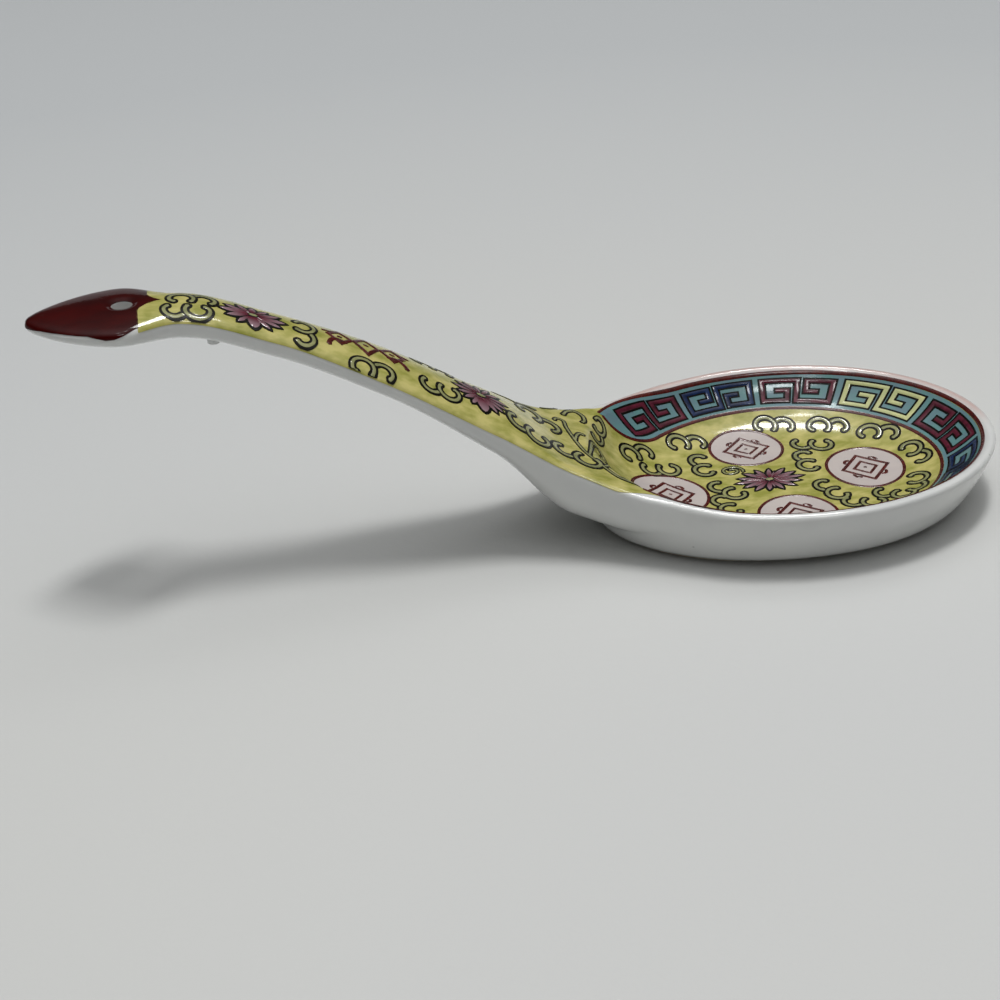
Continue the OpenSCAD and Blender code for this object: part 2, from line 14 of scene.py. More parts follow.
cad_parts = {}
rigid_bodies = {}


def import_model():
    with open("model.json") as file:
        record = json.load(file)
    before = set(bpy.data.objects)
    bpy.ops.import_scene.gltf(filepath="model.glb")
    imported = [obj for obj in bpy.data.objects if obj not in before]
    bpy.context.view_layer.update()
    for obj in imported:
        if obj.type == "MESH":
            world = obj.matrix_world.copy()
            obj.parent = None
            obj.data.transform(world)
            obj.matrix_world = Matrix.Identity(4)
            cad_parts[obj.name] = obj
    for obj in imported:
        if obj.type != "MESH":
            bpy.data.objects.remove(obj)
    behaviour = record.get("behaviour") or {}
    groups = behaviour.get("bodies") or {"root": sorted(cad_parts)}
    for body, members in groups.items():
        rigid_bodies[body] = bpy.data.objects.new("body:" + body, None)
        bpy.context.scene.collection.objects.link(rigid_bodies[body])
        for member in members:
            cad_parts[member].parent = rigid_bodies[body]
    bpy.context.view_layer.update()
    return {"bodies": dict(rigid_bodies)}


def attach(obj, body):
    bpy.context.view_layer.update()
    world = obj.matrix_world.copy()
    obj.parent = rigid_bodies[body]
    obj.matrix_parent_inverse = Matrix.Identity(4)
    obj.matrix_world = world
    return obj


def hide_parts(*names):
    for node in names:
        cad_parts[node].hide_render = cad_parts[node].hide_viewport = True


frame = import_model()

MM = 0.001
BODY = next(iter(frame["bodies"]))
Piece = bpy.types.Object
Socket = bpy.types.NodeSocket
Points = np.ndarray
Colour = tuple[float, float, float]
Place = tuple[float, float, float]
Pair = tuple[float, float]
Mapping = Callable[[Points], Points]
log = logging.getLogger("soup_spoon")


def clamp(value: Points) -> Points:
    """Values held between 0 and 1."""
    return np.clip(value, 0.0, 1.0)


def ease(value: Points) -> Points:
    """Smooth step from 0 to 1."""
    share = clamp(value)
    return share * share * (3 - 2 * share)


def mix(first: Points, second: Points, share: Points) -> Points:
    """Value on the way from first to second."""
    return first + (second - first) * share


def crowd(count: int) -> Points:
    """Shares from 0 to 1 that crowd towards 1."""
    return np.sin(np.linspace(0, math.pi / 2, count))


def run_along(path: Points) -> Points:
    """The length of the way along a path to each of its points."""
    return np.concatenate([[0], np.cumsum(np.linalg.norm(np.diff(path, axis=0), axis=1))])


def unit(vectors: Points) -> Points:
    """The vectors at length 1."""
    return vectors / np.maximum(np.linalg.norm(vectors, axis=1, keepdims=True), 1e-9)


def polar(degrees: Points, along: Points, across: Points) -> Points:
    """Plan points round the origin, by their turn and their reach along x and across it."""
    angle = np.radians(degrees)
    return np.stack([along * np.cos(angle), across * np.sin(angle)], -1)


def turned(points: Points, degrees: float) -> Points:
    """Plan points turned about the origin, counter-clockwise."""
    angle = math.radians(degrees)
    cos, sin = math.cos(angle), math.sin(angle)
    x, y = points.T
    return np.stack([x * cos - y * sin, x * sin + y * cos], -1)


@dataclass
class Curve:
    """Smooth curve through stations along the spoon that never overshoots them."""

    stations: Sequence[float]
    values: Sequence[float]

    def __post_init__(self) -> None:
        """Works out the slope at each station."""
        self.xs, self.ys = np.array(self.stations, float), np.array(self.values, float)
        gaps = np.diff(self.xs)
        rises = np.diff(self.ys) / gaps
        self.slopes = np.zeros(len(self.xs))
        for i in range(1, len(self.xs) - 1):
            if rises[i - 1] * rises[i] > 0:
                before, after = 2 * gaps[i] + gaps[i - 1], gaps[i] + 2 * gaps[i - 1]
                self.slopes[i] = (before + after) / (before / rises[i - 1] + after / rises[i])

    def at(self, x: Points) -> Points:
        """The curve's value at x, held at its ends."""
        x = np.clip(x, self.xs[0], self.xs[-1])
        k = np.clip(np.searchsorted(self.xs, x, side="right") - 1, 0, len(self.xs) - 2)
        gap = self.xs[k + 1] - self.xs[k]
        t = (x - self.xs[k]) / gap
        low = self.ys[k] * (1 + 2 * t) * (1 - t) ** 2 + self.slopes[k] * gap * t * (1 - t) ** 2
        return low + self.ys[k + 1] * t * t * (3 - 2 * t) + self.slopes[k + 1] * gap * t * t * (t - 1)


@dataclass
class Skin:
    """The spoon's porcelain surface in millimetres, by the same rules as its solids."""

    bowl_front: float = 31.5
    bowl_back: float = 32.4
    bowl_half_width: float = 24.8
    rim_height: float = 10.6
    floor_height: float = 2.9
    rim_width: float = 1.7
    rim_drop: float = 0.35
    edge_flat: float = 0.4
    floor_share: float = 0.3
    hollow_power: float = 3.4
    foot_lengths: Pair = (25.4, 29.4)
    foot_half_width: float = 19.1
    foot_power: float = 2.1
    foot_height: float = 0.6
    reach: float = 107.8
    tip_cut: float = 0.3
    bar_power: float = 2.6
    root_fillet: float = 5.0
    edge_fillet: float = 0.65
    join_shares: Pair = (0.12, 0.1)
    hole_x: float = -94.864
    hole_radius: float = 1.4
    mouth_radius: float = 2.2
    mouth_depth: float = 0.5
    mouth_slack: float = 0.15
    bore_level: float = 42.0
    fan_x: float = -100.0
    fan_reach: float = 12.0
    fan_columns: int = 37
    bar_columns: tuple[tuple[float, int], ...] = ((-90.0, 46), (-34.0, 118), (0.0, 98))
    bowl_columns: int = 76
    soft_radius: float = 0.4
    top_steps: int = 44
    edge_steps: int = 4
    edge_ease: float = 0.55
    table_reach: float = 5.0
    table_steps: int = 240
    edge_room: float = 0.15
    slope_step: float = 0.08

    def __post_init__(self) -> None:
        """Builds the curves along the spoon and the shell wrapped round its outline."""
        shares = [1, 0.885, 0.815, 0.7, 0.57, 0.43, 0.33, 0.243, 0.12, 0]
        self.stations = xs = [-self.reach * share for share in shares]
        side = self.bowl_half_width * math.sqrt(1 - (xs[8] / self.bowl_back) ** 2)
        rim = self.rim_height
        self.widths = Curve(xs, [8.2, 8.2, 5, 5, 6.4, 7.8, 11.1, 15.9, side, self.bowl_half_width])
        self.levels = Curve(xs, [42.4, 42.4, 42, 37.6, 30.4, 20.9, 14.7, mix(rim, 14.7, 0.25), rim, rim])
        self.depths = Curve(xs, [1.44, 2.4, 2.8, 2.8, 2.8, mix(2.8, 9.2, 0.25), 9.2, 9.2, 9.2, 9.2])
        self.crowns = Curve(xs, [0.12, 0.12, 0.2, 0.23, 0.26, 0.26, 0, 0, 0, 0])
        self.wrap()

    def leaf(self, x: Points) -> Points:
        """How the head narrows to its tip."""
        u = clamp((self.stations[1] - x) / (self.stations[1] - self.stations[0]))
        return np.where(x >= self.stations[1], 1.0, (1 - u ** 1.7) ** 0.72)

    def half_width(self, x: Points) -> Points:
        """Half width of the spoon behind the bowl's centre."""
        return self.widths.at(x) * self.leaf(x)

    def oval(self, angle: Points, share: Points = 1.0) -> Points:
        """Plan point on the bowl's oval at a turn in degrees, or at a share of the way out."""
        a = np.radians(angle)
        length = np.where(np.cos(a) > 0, self.bowl_front, self.bowl_back)
        r = share / np.hypot(np.cos(a) / length, np.sin(a) / self.bowl_half_width)
        return polar(angle, r, r)

    def out(self, x: Points, y: Points) -> Points:
        """How far out a plan point lies in the bowl: 0 at its centre, 1 at its oval."""
        return np.hypot(x / np.where(x > 0, self.bowl_front, self.bowl_back), y / self.bowl_half_width)

    def foot_out(self, x: Points, y: Points) -> Points:
        """How far out a plan point lies on the foot: 0 at its centre, 1 at its oval."""
        power = self.foot_power
        along = np.abs(x / np.where(x > 0, *self.foot_lengths)) ** power
        return (along + np.abs(y / self.foot_half_width) ** power) ** (1 / power)

    def across(self, x: Points, y: Points) -> Points:
        """Share of the way from the middle line to the edge."""
        return np.where(x >= 0, self.out(x, y), clamp(np.abs(y) / np.maximum(self.half_width(x), 1e-6)))

    def to_oval(self, x: Points, y: Points) -> Points:
        """Plan distance from a point to the bowl's oval, along the point's own ray."""
        r = self.out(x, y)
        return np.hypot(x, y) / np.maximum(r, 1e-3) * (1 - r)

    def to_edge(self, x: Points, y: Points) -> Points:
        """Plan distance from a point to the spoon's edge."""
        return np.where(x >= 0, self.to_oval(x, y), self.half_width(x) * (1 - self.across(x, y)))

    def raw_top(self, x: Points, y: Points) -> Points:
        """Height of the top before its creases are softened."""
        r = self.out(x, y)
        ray = np.hypot(x, y) / np.maximum(r, 1e-3)
        across = self.across(x, y)
        back = np.minimum(x, 0)
        land = self.levels.at(back) + self.crowns.at(back) * self.half_width(back) * (1 - across ** 2)
        inner = clamp(2 * self.to_oval(x, y) / self.rim_width - 1) ** 2
        outer = clamp(1 - 2 * self.to_edge(x, y) / self.rim_width) ** 2
        u = r / (1 - self.rim_width / np.maximum(ray, 2 * self.rim_width))
        hollow = clamp((u - self.floor_share) / (1 - self.floor_share)) ** self.hollow_power
        hollow = np.where(r < 1e-3, 0.0, hollow)
        top = mix(self.floor_height, land - self.rim_drop * inner, hollow) - self.rim_drop * outer
        from_hole = self.mouth_radius + self.mouth_slack - np.hypot(x - self.hole_x, y)
        return top - self.mouth_depth * clamp(from_hole / (self.mouth_radius - self.hole_radius)) ** 1.5

    def top(self, x: Points, y: Points) -> Points:
        """Height of the top, its creases softened by a mean over a small disc."""
        x, y = np.asarray(x, float), np.asarray(y, float)
        radius = np.minimum(self.soft_radius, 0.9 * np.maximum(self.to_edge(x, y), 0))
        total = self.raw_top(x, y) * 2
        for k in range(8):
            a = math.pi * k / 4
            total = total + self.raw_top(x + radius * math.cos(a), y + radius * math.sin(a))
        return total / 10

    def under(self, x: Points, y: Points) -> Points:
        """Height of the underside."""
        r = self.out(x, y)
        f = r / np.maximum(self.foot_out(x, y), 1e-3)
        wall = np.where(r > 1, 1 + (r - 1) * 2 / (1 - f), clamp((r - f) / (1 - f)) ** 2)
        wall = np.where(r < 1e-3, 0.0, wall)
        back = np.minimum(x, 0)
        base = self.levels.at(back) - self.rim_drop - self.edge_flat
        outer = mix(self.foot_height, base, wall)
        across = clamp(self.across(x, y))
        round_bar = (1 - across ** self.bar_power) ** (1 / self.bar_power)
        bar = base - self.depths.at(back) * np.sqrt(self.leaf(x)) * round_bar
        join = ease((-self.reach * self.join_shares[0] - x) / (self.reach * self.join_shares[1]))
        k = np.maximum(self.root_fillet * (1 - self.edge_fillet * across ** 2) * join, 1e-3)
        h = clamp(1 - np.abs(outer - bar) / k)
        soft = np.minimum(outer, bar) - h * h * k / 4
        return np.where(x >= 0, outer, np.maximum(self.foot_height, mix(outer, soft, join)))

    def outline(self) -> tuple[Points, Points]:
        """Spine points and edge points of the shell's half loops, round the whole outline.

        Returns:
            Two (n, 2) arrays in plan, from the head's tip along the near side and back along the far side.
        """
        tip = -self.reach + self.tip_cut
        edges, places = [], []
        for angle in np.radians(np.linspace(180, 270, self.fan_columns)):
            cos, sin = math.cos(angle), math.sin(angle)
            low, high = 0.0, self.fan_reach
            for _ in range(40):
                mid = (low + high) / 2
                x, y = self.fan_x + cos * mid, sin * mid
                inside = x > tip and abs(y) < float(self.half_width(np.array(x)))
                low, high = (mid, high) if inside else (low, mid)
            edges.append((self.fan_x + cos * low, sin * low))
        start = self.fan_x
        for end, count in self.bar_columns:
            places.extend(np.linspace(start, end, count)[1:])
            start = end
        edges += [(x, -float(self.half_width(np.array(x)))) for x in places]
        edges = np.concatenate([edges, self.oval(np.linspace(-90, 0, self.bowl_columns)[1:])])
        spines = np.stack([np.clip(edges[:, 0], self.fan_x, 0.0), np.zeros(len(edges))], -1)
        flip = np.array([1.0, -1.0])
        return (np.concatenate([spines, spines[-2::-1] * flip]), np.concatenate([edges, edges[-2::-1] * flip]))

    def wrap(self) -> None:
        """Builds the shell: half loops from the spine over the top, round the edge and back below."""
        self.spines, self.edges = self.outline()
        plan = mix(self.spines[:, None], self.edges[:, None], crowd(self.top_steps + 1)[None, :, None])
        x, y = plan[..., 0], plan[..., 1]
        high = np.stack([x, y, self.top(x, y)], -1)
        low = np.stack([x, y, self.under(x, y)], -1)[:, ::-1]
        flat = np.linspace(0, 1, self.edge_steps + 2)[1:-1][None, :, None]
        loops = np.concatenate([high, mix(high[:, -1:], low[:, :1], flat), low], 1)
        loops[:, 0, 1] = loops[:, -1, 1] = 0.0
        loops[:, 0, 0] = loops[:, -1, 0] = self.spines[:, 0]
        samples = np.linspace(0, 1, self.table_steps)
        self.shell = np.empty_like(loops)
        self.table = np.empty((len(loops), 2 * self.table_steps, 3))
        self.runs = np.array([run_along(loop) for loop in loops])
        for i, (loop, run) in enumerate(zip(loops, self.runs)):
            reach = np.minimum(self.edge_ease, np.minimum(run, run[-1] - run))
            edge = run[self.top_steps]
            at = np.concatenate([samples * edge, edge + samples * self.table_reach])
            for axis in range(3):
                spread = [np.interp(run + reach * k, run, loop[:, axis]) for k in np.linspace(-1, 1, 9)]
                self.shell[i, :, axis] = np.mean(spread, 0)
                self.table[i, :, axis] = np.interp(at, run, self.shell[i, :, axis])

    def edge_share(self, column: Sequence[float], inset: Sequence[float]) -> Points:
        """Run share of a boundary that lies inset millimetres inside the edge, or over it where negative.

        Args:
            column: Positions round the outline, in half loops.
            inset: Plan distance from the edge, inwards; a negative one is a run down over the edge.

        Returns:
            The shares that on_shell takes.
        """
        shares = []
        for c, gap in zip(column, inset):
            i = int(round(c))
            if gap <= 0:
                shares.append(1 - gap / self.table_reach)
                continue
            length = max(np.linalg.norm(self.edges[i] - self.spines[i]), 1e-3)
            top = self.runs[i, : self.top_steps + 1]
            shares.append(np.interp(max(1 - gap / length, 0), crowd(len(top)), top) / top[-1])
        return np.array(shares)

    def on_shell(self, column: Points, share: Points) -> Points:
        """Points of the shell.

        Args:
            column: Positions round the outline, in half loops.
            share: 0 on the spine, 1 at the edge, and above 1 down over the edge.

        Returns:
            Points in millimetres.
        """
        t, steps = self.table, self.table_steps
        column = np.clip(column, 0, len(t) - 1.000001)
        place = np.where(share <= 1, share * (steps - 1), steps + (share - 1) * (steps - 1))
        place = np.clip(place, 0, 2 * steps - 1.000001)
        i, j = column.astype(int), place.astype(int)
        a, b = (column - i)[..., None], (place - j)[..., None]
        return mix(mix(t[i, j], t[i, j + 1], b), mix(t[i + 1, j], t[i + 1, j + 1], b), a)

    def near_column(self, x: Points) -> Points:
        """Position round the outline of a place on the near side, behind the bowl's centre."""
        first, half = self.fan_columns - 1, (len(self.edges) + 1) // 2
        return np.interp(x, self.edges[first:half, 0], np.arange(first, half))

    def slope(self, x: Points, y: Points) -> tuple[Points, Points]:
        """Slopes of the top along x and y."""
        d = self.slope_step
        return ((self.top(x + d, y) - self.top(x - d, y)) / (2 * d),
                (self.top(x, y + d) - self.top(x, y - d)) / (2 * d))

    def lay(self, points: Points) -> Points:
        """Lays flat points on the top: their z is the height along the surface's normal."""
        x, y, h = points.T
        room = np.where(x < 0, self.half_width(x) - self.edge_room, math.inf)
        y = np.clip(y, -room, room)
        gx, gy = self.slope(x, y)
        size = np.sqrt(1 + gx ** 2 + gy ** 2)
        return np.stack([x - h * gx / size, y - h * gy / size, self.top(x, y) + h / size], -1)

    def lay_at(self, place: Sequence[float], turn: float) -> Mapping:
        """Mapping that lays a flat ornament at a plan place without stretching it on a slope.

        Args:
            place: Plan position in millimetres.
            turn: The way its own x axis points, in degrees.

        Returns:
            A mapping of flat points to the surface.
        """
        gx, gy = (float(g) for g in self.slope(np.array(place[0]), np.array(place[1])))
        steep = math.hypot(gx, gy)
        uphill = np.array([gx, gy]) / max(steep, 1e-6)
        shrink = 1 - 1 / math.sqrt(1 + steep * steep)

        def press(points: Points) -> Points:
            """Turns, shortens uphill, moves and lays the points."""
            plan = turned(points[:, :2], turn)
            plan = plan - np.outer(plan @ uphill, uphill) * shrink + np.array(place)
            return self.lay(np.column_stack([plan, points[:, 2]]))

        return press


class Bench:
    """Blender's own tools, used the way a modeller does by hand. Sizes are in millimetres."""

    @staticmethod
    def pick(*pieces: Piece) -> None:
        """Leaves edit mode and selects these pieces alone, the first of them active."""
        if bpy.context.object and bpy.context.object.mode != "OBJECT":
            bpy.ops.object.mode_set(mode="OBJECT")
        bpy.ops.object.select_all(action="DESELECT")
        for piece in pieces:
            piece.select_set(True)
        if pieces:
            bpy.context.view_layer.objects.active = pieces[0]

    @classmethod
    @contextmanager
    def editing(cls, piece: Piece, bottom: bool = False) -> Iterator[None]:
        """Edit mode by faces, with the whole piece selected or only its level bottom."""
        cls.pick(piece)
        if bottom:
            for polygon in piece.data.polygons:
                polygon.select = polygon.normal.z < -0.99
        bpy.ops.object.mode_set(mode="EDIT")
        bpy.ops.mesh.select_mode(type="FACE")
        if not bottom:
            bpy.ops.mesh.select_all(action="SELECT")
        yield
        bpy.ops.object.mode_set(mode="OBJECT")

    @staticmethod
    def named(name: str) -> Piece:
        """The active piece, with its mesh, under a new name."""
        piece = bpy.context.object
        piece.name = piece.data.name = name
        return piece

    @classmethod
    def grid(cls, name: str, points: Points) -> Piece:
        """A grid primitive whose vertices move to rows and columns of points."""
        rows, columns, _ = points.shape
        cls.pick()
        bpy.ops.mesh.primitive_grid_add(x_subdivisions=columns - 1, y_subdivisions=rows - 1, size=MM)
        piece = cls.named(name)
        cls.shape(piece, points)
        return piece

    @classmethod
    def plate(cls, name: str, sides: int, radius: float) -> Piece:
        """A flat round face."""
        cls.pick()
        bpy.ops.mesh.primitive_circle_add(vertices=sides, radius=radius * MM, fill_type="NGON")
        return cls.named(name)

    @classmethod
    def dish(cls, sides: int, radius: float, rings: Sequence[Pair]) -> Piece:
        """A round sheet, inset ring by ring, each with its width and its rise."""
        piece = cls.plate("dish", sides, radius)
        with cls.editing(piece):
            for width, rise in rings:
                bpy.ops.mesh.inset(thickness=width * MM, depth=rise * MM)
            bpy.ops.mesh.poke()
        return piece

    @classmethod
    def rod(cls, name: str, sides: int, radius: float, depth: float, place: Place) -> Piece:
        """An upright cylinder with its place in its mesh."""
        cls.pick()
        bpy.ops.mesh.primitive_cylinder_add(vertices=sides, radius=radius * MM, depth=depth * MM,
                                            location=[value * MM for value in place])
        bpy.ops.object.transform_apply(location=True, rotation=True, scale=True)
        return cls.named(name)

    @staticmethod
    def places(piece: Piece) -> Points:
        """The piece's vertices."""
        co = np.empty(len(piece.data.vertices) * 3)
        piece.data.vertices.foreach_get("co", co)
        return co.reshape(-1, 3) / MM

    @staticmethod
    def shape(piece: Piece, points: Points) -> None:
        """Moves the piece's vertices to points."""
        piece.data.vertices.foreach_set("co", (np.asarray(points) * MM).ravel())
        piece.data.update()

    @staticmethod
    def mark(piece: Piece, name: str, values: Points) -> None:
        """Keeps a value for each vertex as an attribute."""
        piece.data.attributes.new(name, "FLOAT", "POINT").data.foreach_set("value", values.astype(np.float32))

    @classmethod
    def mend(cls, piece: Piece, gap: float = 0.002, outwards: bool = False) -> None:
        """Merges doubles, and turns the normals outwards on a closed piece."""
        with cls.editing(piece):
            bpy.ops.mesh.remove_doubles(threshold=gap * MM)
            if outwards:
                bpy.ops.mesh.normals_make_consistent(inside=False)

    @classmethod
    def face_up(cls, piece: Piece) -> None:
        """Flips an open sheet whose faces look down."""
        if sum(p.normal.z * p.area for p in piece.data.polygons) < 0:
            with cls.editing(piece):
                bpy.ops.mesh.flip_normals()

    @classmethod
    def lay(cls, piece: Piece, mapping: Mapping, merge: bool = True) -> Piece:
        """Moves a sheet through a mapping, merges its doubles and turns it face up."""
        cls.shape(piece, mapping(cls.places(piece)))
        if merge:
            cls.mend(piece)
        cls.face_up(piece)
        return piece

    @classmethod
    def apply(cls, piece: Piece, kind: str, **settings: object) -> None:
        """Adds a modifier to the piece, sets it and applies it."""
        cls.pick(piece)
        modifier = piece.modifiers.new(kind.title(), kind)
        for key, value in settings.items():
            setattr(modifier, key, value)
        bpy.ops.object.modifier_apply(modifier=modifier.name)

    @classmethod
    def thicken(cls, piece: Piece, thickness: float, offset: float = -1) -> None:
        """Gives a sheet its thickness, downwards unless offset says otherwise."""
        cls.apply(piece, "SOLIDIFY", thickness=thickness * MM, offset=offset, use_even_offset=False)

    @classmethod
    def join(cls, name: str, pieces: Sequence[Piece]) -> Piece:
        """Joins pieces into one mesh under a new name."""
        cls.pick(*pieces)
        if len(pieces) > 1:
            bpy.ops.object.join()
        return cls.named(name)

    @classmethod
    def copy(cls, piece: Piece) -> Piece:
        """A copy of the piece with its own mesh."""
        cls.pick(piece)
        bpy.ops.object.duplicate(linked=False)
        return bpy.context.object

    @classmethod
    def drop(cls, *pieces: Piece) -> None:
        """Removes helper pieces."""
        cls.pick()
        for piece in pieces:
            bpy.data.objects.remove(piece, do_unlink=True)

    @classmethod
    def smooth(cls, piece: Piece, degrees: float = 60.0) -> None:
        """Shades the piece smooth, up to an angle between faces."""
        cls.pick(piece)
        bpy.ops.object.shade_smooth_by_angle(angle=math.radians(degrees))


class Cap(Enum):
    """How a brush stroke ends."""

    ROUND = "round"
    SQUARE = "square"
    LOOP = "loop"


@dataclass
class Brush:
    """Flat brush strokes with a domed face, drawn as ribbons of a grid primitive."""

    step: float = 0.22
    cells: int = 4

    def smoothed(self, corners: Sequence[Sequence[float]]) -> Points:
        """A smooth path through plan points."""
        p = np.array(corners, float)
        p = np.concatenate([2 * p[:1] - p[1:2], p, 2 * p[-1:] - p[-2:-1]])
        out = []
        for i in range(1, len(p) - 2):
            count = max(2, int(np.linalg.norm(p[i + 1] - p[i]) / self.step))
            t = np.linspace(0, 1, count, endpoint=False)[:, None]
            a = 2 * p[i] + (p[i + 1] - p[i - 1]) * t
            b = (2 * p[i - 1] - 5 * p[i] + 4 * p[i + 1] - p[i + 2]) * t ** 2
            out.append((a + b + (3 * p[i] - p[i - 1] - 3 * p[i + 1] + p[i + 2]) * t ** 3) / 2)
        return np.concatenate([*out, p[-2:-1]])

    def straight(self, corners: Sequence[Sequence[float]]) -> Points:
        """A path of straight legs, cut into short steps that keep the corners."""
        p = np.array(corners, float)
        legs = [np.linspace(a, b, max(2, int(np.linalg.norm(b - a) / (2 * self.step)) + 1), endpoint=False)
                for a, b in zip(p[:-1], p[1:])]
        return np.concatenate([*legs, p[-1:]])

    def stroke(self, path: Points, width: float, cap: Cap = Cap.ROUND, rise: float = 0.05, lift: float = 0.15,
               bulb: float = 0.0, profile: Optional[Points] = None) -> Piece:
        """A flat stroke, its z the height over the surface.

        Args:
            path: Plan points in millimetres.
            width: Full width.
            cap: How it ends.
            rise: Height of the dome over the stroke's sides.
            lift: Height of the stroke's sides.
            bulb: Extra share of width at round ends.
            profile: Shares of the width along the path, in place of caps.

        Returns:
            The stroke's object, with the share along it kept as the attribute "along".
        """
        run, ahead = run_along(path), unit(np.diff(path, axis=0))
        before, after = (ahead[-1:], ahead[:1]) if cap is Cap.LOOP else (ahead[:1], ahead[-1:])
        fore = np.concatenate([ahead, after])
        heading = unit(np.concatenate([before, ahead]) + fore)
        mitre = 1 / np.clip(np.sum(heading * fore, 1), 0.6, 1)
        side = np.stack([-heading[:, 1], heading[:, 0]], -1)
        half = np.full(len(path), width / 2)
        if profile is not None:
            half = half * profile
        elif cap is Cap.ROUND:
            end = np.minimum(run, run[-1] - run)
            half = half * (1 + bulb * np.exp(-(end / width) ** 2 * 2))
            half = half * np.sqrt(1 - (1 - clamp(end / (width / 2 * (1 + bulb)))) ** 2)
            mitre = np.minimum(mitre, 1.15)
        offsets = np.linspace(-1, 1, self.cells + 1)
        dome = 1 - np.abs(offsets) ** 2.5
        plan = path[:, None] + side[:, None] * (half * mitre)[:, None, None] * offsets[None, :, None]
        height = lift + rise * dome[None, :] * np.minimum(1, half / (width / 4))[:, None]
        piece = Bench.grid("stroke", np.concatenate([plan, height[..., None]], -1))
        Bench.mark(piece, "along", np.repeat(run / run[-1], self.cells + 1))
        return piece

    def lozenge(self, long: float, wide: float, width: float, x: float = 0.0) -> Piece:
        """A closed lozenge round a place on the x axis, by its half lengths."""
        corners = [(long / 2, wide / 2), (0, wide), (-long, 0), (0, -wide), (long, 0), (long / 2, wide / 2)]
        return self.stroke(self.straight(corners) + [x, 0], width, Cap.LOOP)


class Wiring:
    """Short forms for building a node tree."""

    def __init__(self, tree: bpy.types.NodeTree) -> None:
        """Keeps the tree."""
        self.tree = tree

    @classmethod
    def principled(cls, name: str) -> tuple[bpy.types.Material, "Wiring", bpy.types.NodeInputs, Socket]:
        """A new material, its wiring, its shader's inputs and the place on its piece."""
        material = bpy.data.materials.new(name)
        material.use_nodes = True
        wire = cls(material.node_tree)
        shader = material.node_tree.nodes["Principled BSDF"]
        return material, wire, shader.inputs, wire.add("TexCoord").outputs["Object"]

    @classmethod
    def group(cls, name: str, inputs: dict[str, str],
              outputs: dict[str, str]) -> tuple["Wiring", bpy.types.NodeOutputs, bpy.types.NodeInputs]:
        """A new group's wiring, and the sockets that it takes from and gives to, by name and kind."""
        tree = bpy.data.node_groups.new(name, "ShaderNodeTree")
        for way, sockets in (("INPUT", inputs), ("OUTPUT", outputs)):
            for label, kind in sockets.items():
                tree.interface.new_socket(label, in_out=way, socket_type="NodeSocket" + kind)
        return cls(tree), tree.nodes.new("NodeGroupInput").outputs, tree.nodes.new("NodeGroupOutput").inputs

    def put(self, value: object, socket: Socket) -> None:
        """Links a socket to an input, or gives it a value."""
        if isinstance(value, Socket):
            self.tree.links.new(value, socket)
        else:
            socket.default_value = value

    def add(self, kind: str, settings: Optional[dict] = None, **inputs: object) -> bpy.types.Node:
        """Adds a node; inputs are values or sockets, named with underscores for spaces or i and a number."""
        node = self.tree.nodes.new("ShaderNode" + kind)
        for key, value in (settings or {}).items():
            setattr(node, key, value)
        for key, value in inputs.items():
            self.put(value, node.inputs[int(key[1:]) if key[1:].isdigit() else key.replace("_", " ")])
        return node

    def math(self, operation: str, first: object, second: object) -> Socket:
        """Arithmetic on two values."""
        return self.add("Math", {"operation": operation}, i0=first, i1=second).outputs[0]

    def ramp(self, value: Socket, low: float, high: float, to_low: float = 0.0,
             to_high: float = 1.0) -> Socket:
        """A clamped change of range."""
        node = self.add("MapRange", Value=value, From_Min=low, From_Max=high, To_Min=to_low, To_Max=to_high)
        return node.outputs["Result"]

    def blend(self, factor: object, first: object, second: object) -> Socket:
        """A colour mix."""
        return self.add("Mix", {"data_type": "RGBA"}, i0=factor, i6=first, i7=second).outputs[2]

    def noise(self, place: Socket, scale: object, detail: float, roughness: float = 0.5) -> Socket:
        """A noise between 0 and 1."""
        return self.add("TexNoise", Vector=place, Scale=scale, Detail=detail, Roughness=roughness).outputs["Fac"]


@cache
def brushed_tone() -> bpy.types.NodeTree:
    """Node group: colour that drifts between two tones as brushed enamel does, with pin speckle."""
    wire, source, sink = Wiring.group(
        "brushed_tone", {"Place": "Vector", "Tone": "Color", "Shade": "Color", "Scale": "Float", "Drift": "Float",
                         "Speckle": "Float"}, {"Color": "Color"})
    stretch = wire.add("Mapping", Vector=source["Place"], Scale=(1.0, 1.7, 1.3)).outputs[0]
    broad = wire.ramp(wire.noise(stretch, source["Scale"], 3.0, 0.55), 0.35, 0.65)
    drifted = wire.blend(wire.math("MULTIPLY", broad, source["Drift"]), source["Tone"], source["Shade"])
    dots = wire.add("TexVoronoi", Vector=source["Place"], Scale=650.0).outputs
    rare = wire.math("GREATER_THAN", dots["Color"], 0.86)
    dot = wire.math("MULTIPLY", wire.ramp(dots["Distance"], 0.08, 0.14, 1.0, 0.0), rare)
    dark = wire.blend(0.65, source["Shade"], (0.05, 0.04, 0.03, 1.0))
    wire.put(wire.blend(wire.math("MULTIPLY", dot, source["Speckle"]), drifted, dark), sink["Color"])
    return wire.tree


@cache
def glaze_ripple() -> bpy.types.NodeTree:
    """Node group: heights of the faint ripple in a fired glaze, and a mask for its gloss."""
    wire, source, sink = Wiring.group("glaze_ripple", {"Place": "Vector", "Scale": "Float"},
                                      {"Height": "Float", "Wear": "Float"})
    swell = wire.noise(source["Place"], source["Scale"], 1.0)
    fine = wire.noise(source["Place"], 2600.0, 2.0)
    wire.put(wire.math("ADD", swell, wire.math("MULTIPLY", fine, 0.08)), sink["Height"])
    wire.put(wire.ramp(fine, 0.35, 0.7), sink["Wear"])
    return wire.tree


